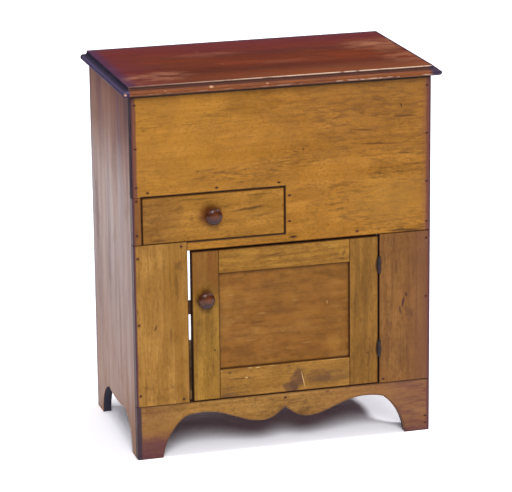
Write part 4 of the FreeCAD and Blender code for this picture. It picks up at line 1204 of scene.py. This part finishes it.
# ------------------------------------ the studio
# A pale plain floor and soft light: one broad lamp above the front and one narrower from
# the right that reaches under the case. A dark curtain hangs all round, out of sight, so
# that satin wood keeps its depth.

camera = bpy.data.objects.new("camera", bpy.data.cameras.new("camera"))
bpy.context.scene.collection.objects.link(camera)
bpy.context.scene.camera = camera
camera.data.sensor_fit = "HORIZONTAL"
camera.data.sensor_width = 36.0
camera.data.lens = 195.49
LEFT_TURN = math.radians(15.7445)
TILT = math.radians(15.7611)
ROLL = math.radians(-0.6410)
AIM = Vector((0.0, -0.1955, 0.4))
CAMERA_BACK = Vector((-0.0640964, 0.0739043, 6.3124))
turned = (
    Matrix.Rotation(-LEFT_TURN, 4, "Z")
    @ Matrix.Rotation(math.pi / 2 - TILT, 4, "X")
    @ Matrix.Rotation(ROLL, 4, "Z")
)
camera.matrix_world = Matrix.Translation(AIM) @ turned @ Matrix.Translation(CAMERA_BACK)


def seen_directly(nodes):
    """1 for rays that show a thing as it is: straight, mirrored or through glass."""
    straight = nodes.node("ShaderNodeLightPath", output="Is Camera Ray")
    mirrored = nodes.node("ShaderNodeLightPath", output="Is Glossy Ray")
    through = nodes.node("ShaderNodeLightPath", output="Is Transmission Ray")
    return straight.most(mirrored).most(through)


def set_stage(name, work, material):
    """Puts up a part of the studio that isn't part of the cabinet."""
    made = put_up(name, work, material)
    return made


FLOOR_REACH = 60.0
FLOOR_TONE = 0.84
FLOOR_LIFT = 0.90
FLOOR_BLUE = 1.06
paper = bpy.data.materials.new("paper")
sheet = Nodes(paper)
lift = seen_directly(sheet) * (FLOOR_TONE * FLOOR_LIFT) + FLOOR_TONE
tone = sheet.node("ShaderNodeCombineXYZ", {0: lift, 1: lift, 2: lift * FLOOR_BLUE})
diffuse = sheet.node("ShaderNodeBsdfDiffuse", {"Color": tone})
sheet.node("ShaderNodeOutputMaterial", {"Surface": diffuse})
floor_work = bmesh.new()
bmesh.ops.create_grid(floor_work, x_segments=1, y_segments=1, size=FLOOR_REACH)
set_stage("studio_floor", floor_work, paper)

CURTAIN_RADIUS = 8.0
CURTAIN_HEIGHT = 5.5
curtain_work = bmesh.new()
bmesh.ops.create_cone(
    curtain_work,
    segments=48,
    radius1=CURTAIN_RADIUS,
    radius2=CURTAIN_RADIUS,
    depth=CURTAIN_HEIGHT,
    matrix=Matrix.Translation((0.0, 0.0, CURTAIN_HEIGHT / 2)),
)
black_cloth = bpy.data.materials.new("black_cloth")
cloth = Nodes(black_cloth)
matt = cloth.node("ShaderNodeBsdfDiffuse", {"Color": stain(52, 50, 54)})
cloth.node("ShaderNodeOutputMaterial", {"Surface": matt})
curtain = set_stage("dark_curtain", curtain_work, black_cloth)
curtain.visible_camera = False
curtain.visible_shadow = False

AMBIENT = 0.6
room = bpy.data.worlds.new("room")
bpy.context.scene.world = room
walls = Nodes(room)
brightness = seen_directly(walls).most(AMBIENT)
glow = walls.node("ShaderNodeBackground", {"Color": (1.0, 1.0, 1.0, 1.0), "Strength": brightness})
walls.node("ShaderNodeOutputWorld", {"Surface": glow})


def lamp(name, from_right, height, angle, strength):
    """A far lamp: degrees to the right of the front, degrees up, and how wide it looks."""
    made = bpy.data.objects.new(name, bpy.data.lights.new(name, "SUN"))
    bpy.context.scene.collection.objects.link(made)
    made.data.energy = strength
    made.data.angle = math.radians(angle)
    side, up = math.radians(from_right), math.radians(height)
    toward = Vector((math.sin(side) * math.cos(up), -math.cos(side) * math.cos(up), math.sin(up)))
    made.matrix_world = toward.to_track_quat("Z", "Y").to_matrix().to_4x4()


lamp("front_softbox", from_right=-12.0, height=40.0, angle=28.0, strength=1.68)
lamp("side_softbox", from_right=90.0, height=40.0, angle=7.0, strength=1.80)
bpy.context.scene.view_settings.view_transform = "Standard"
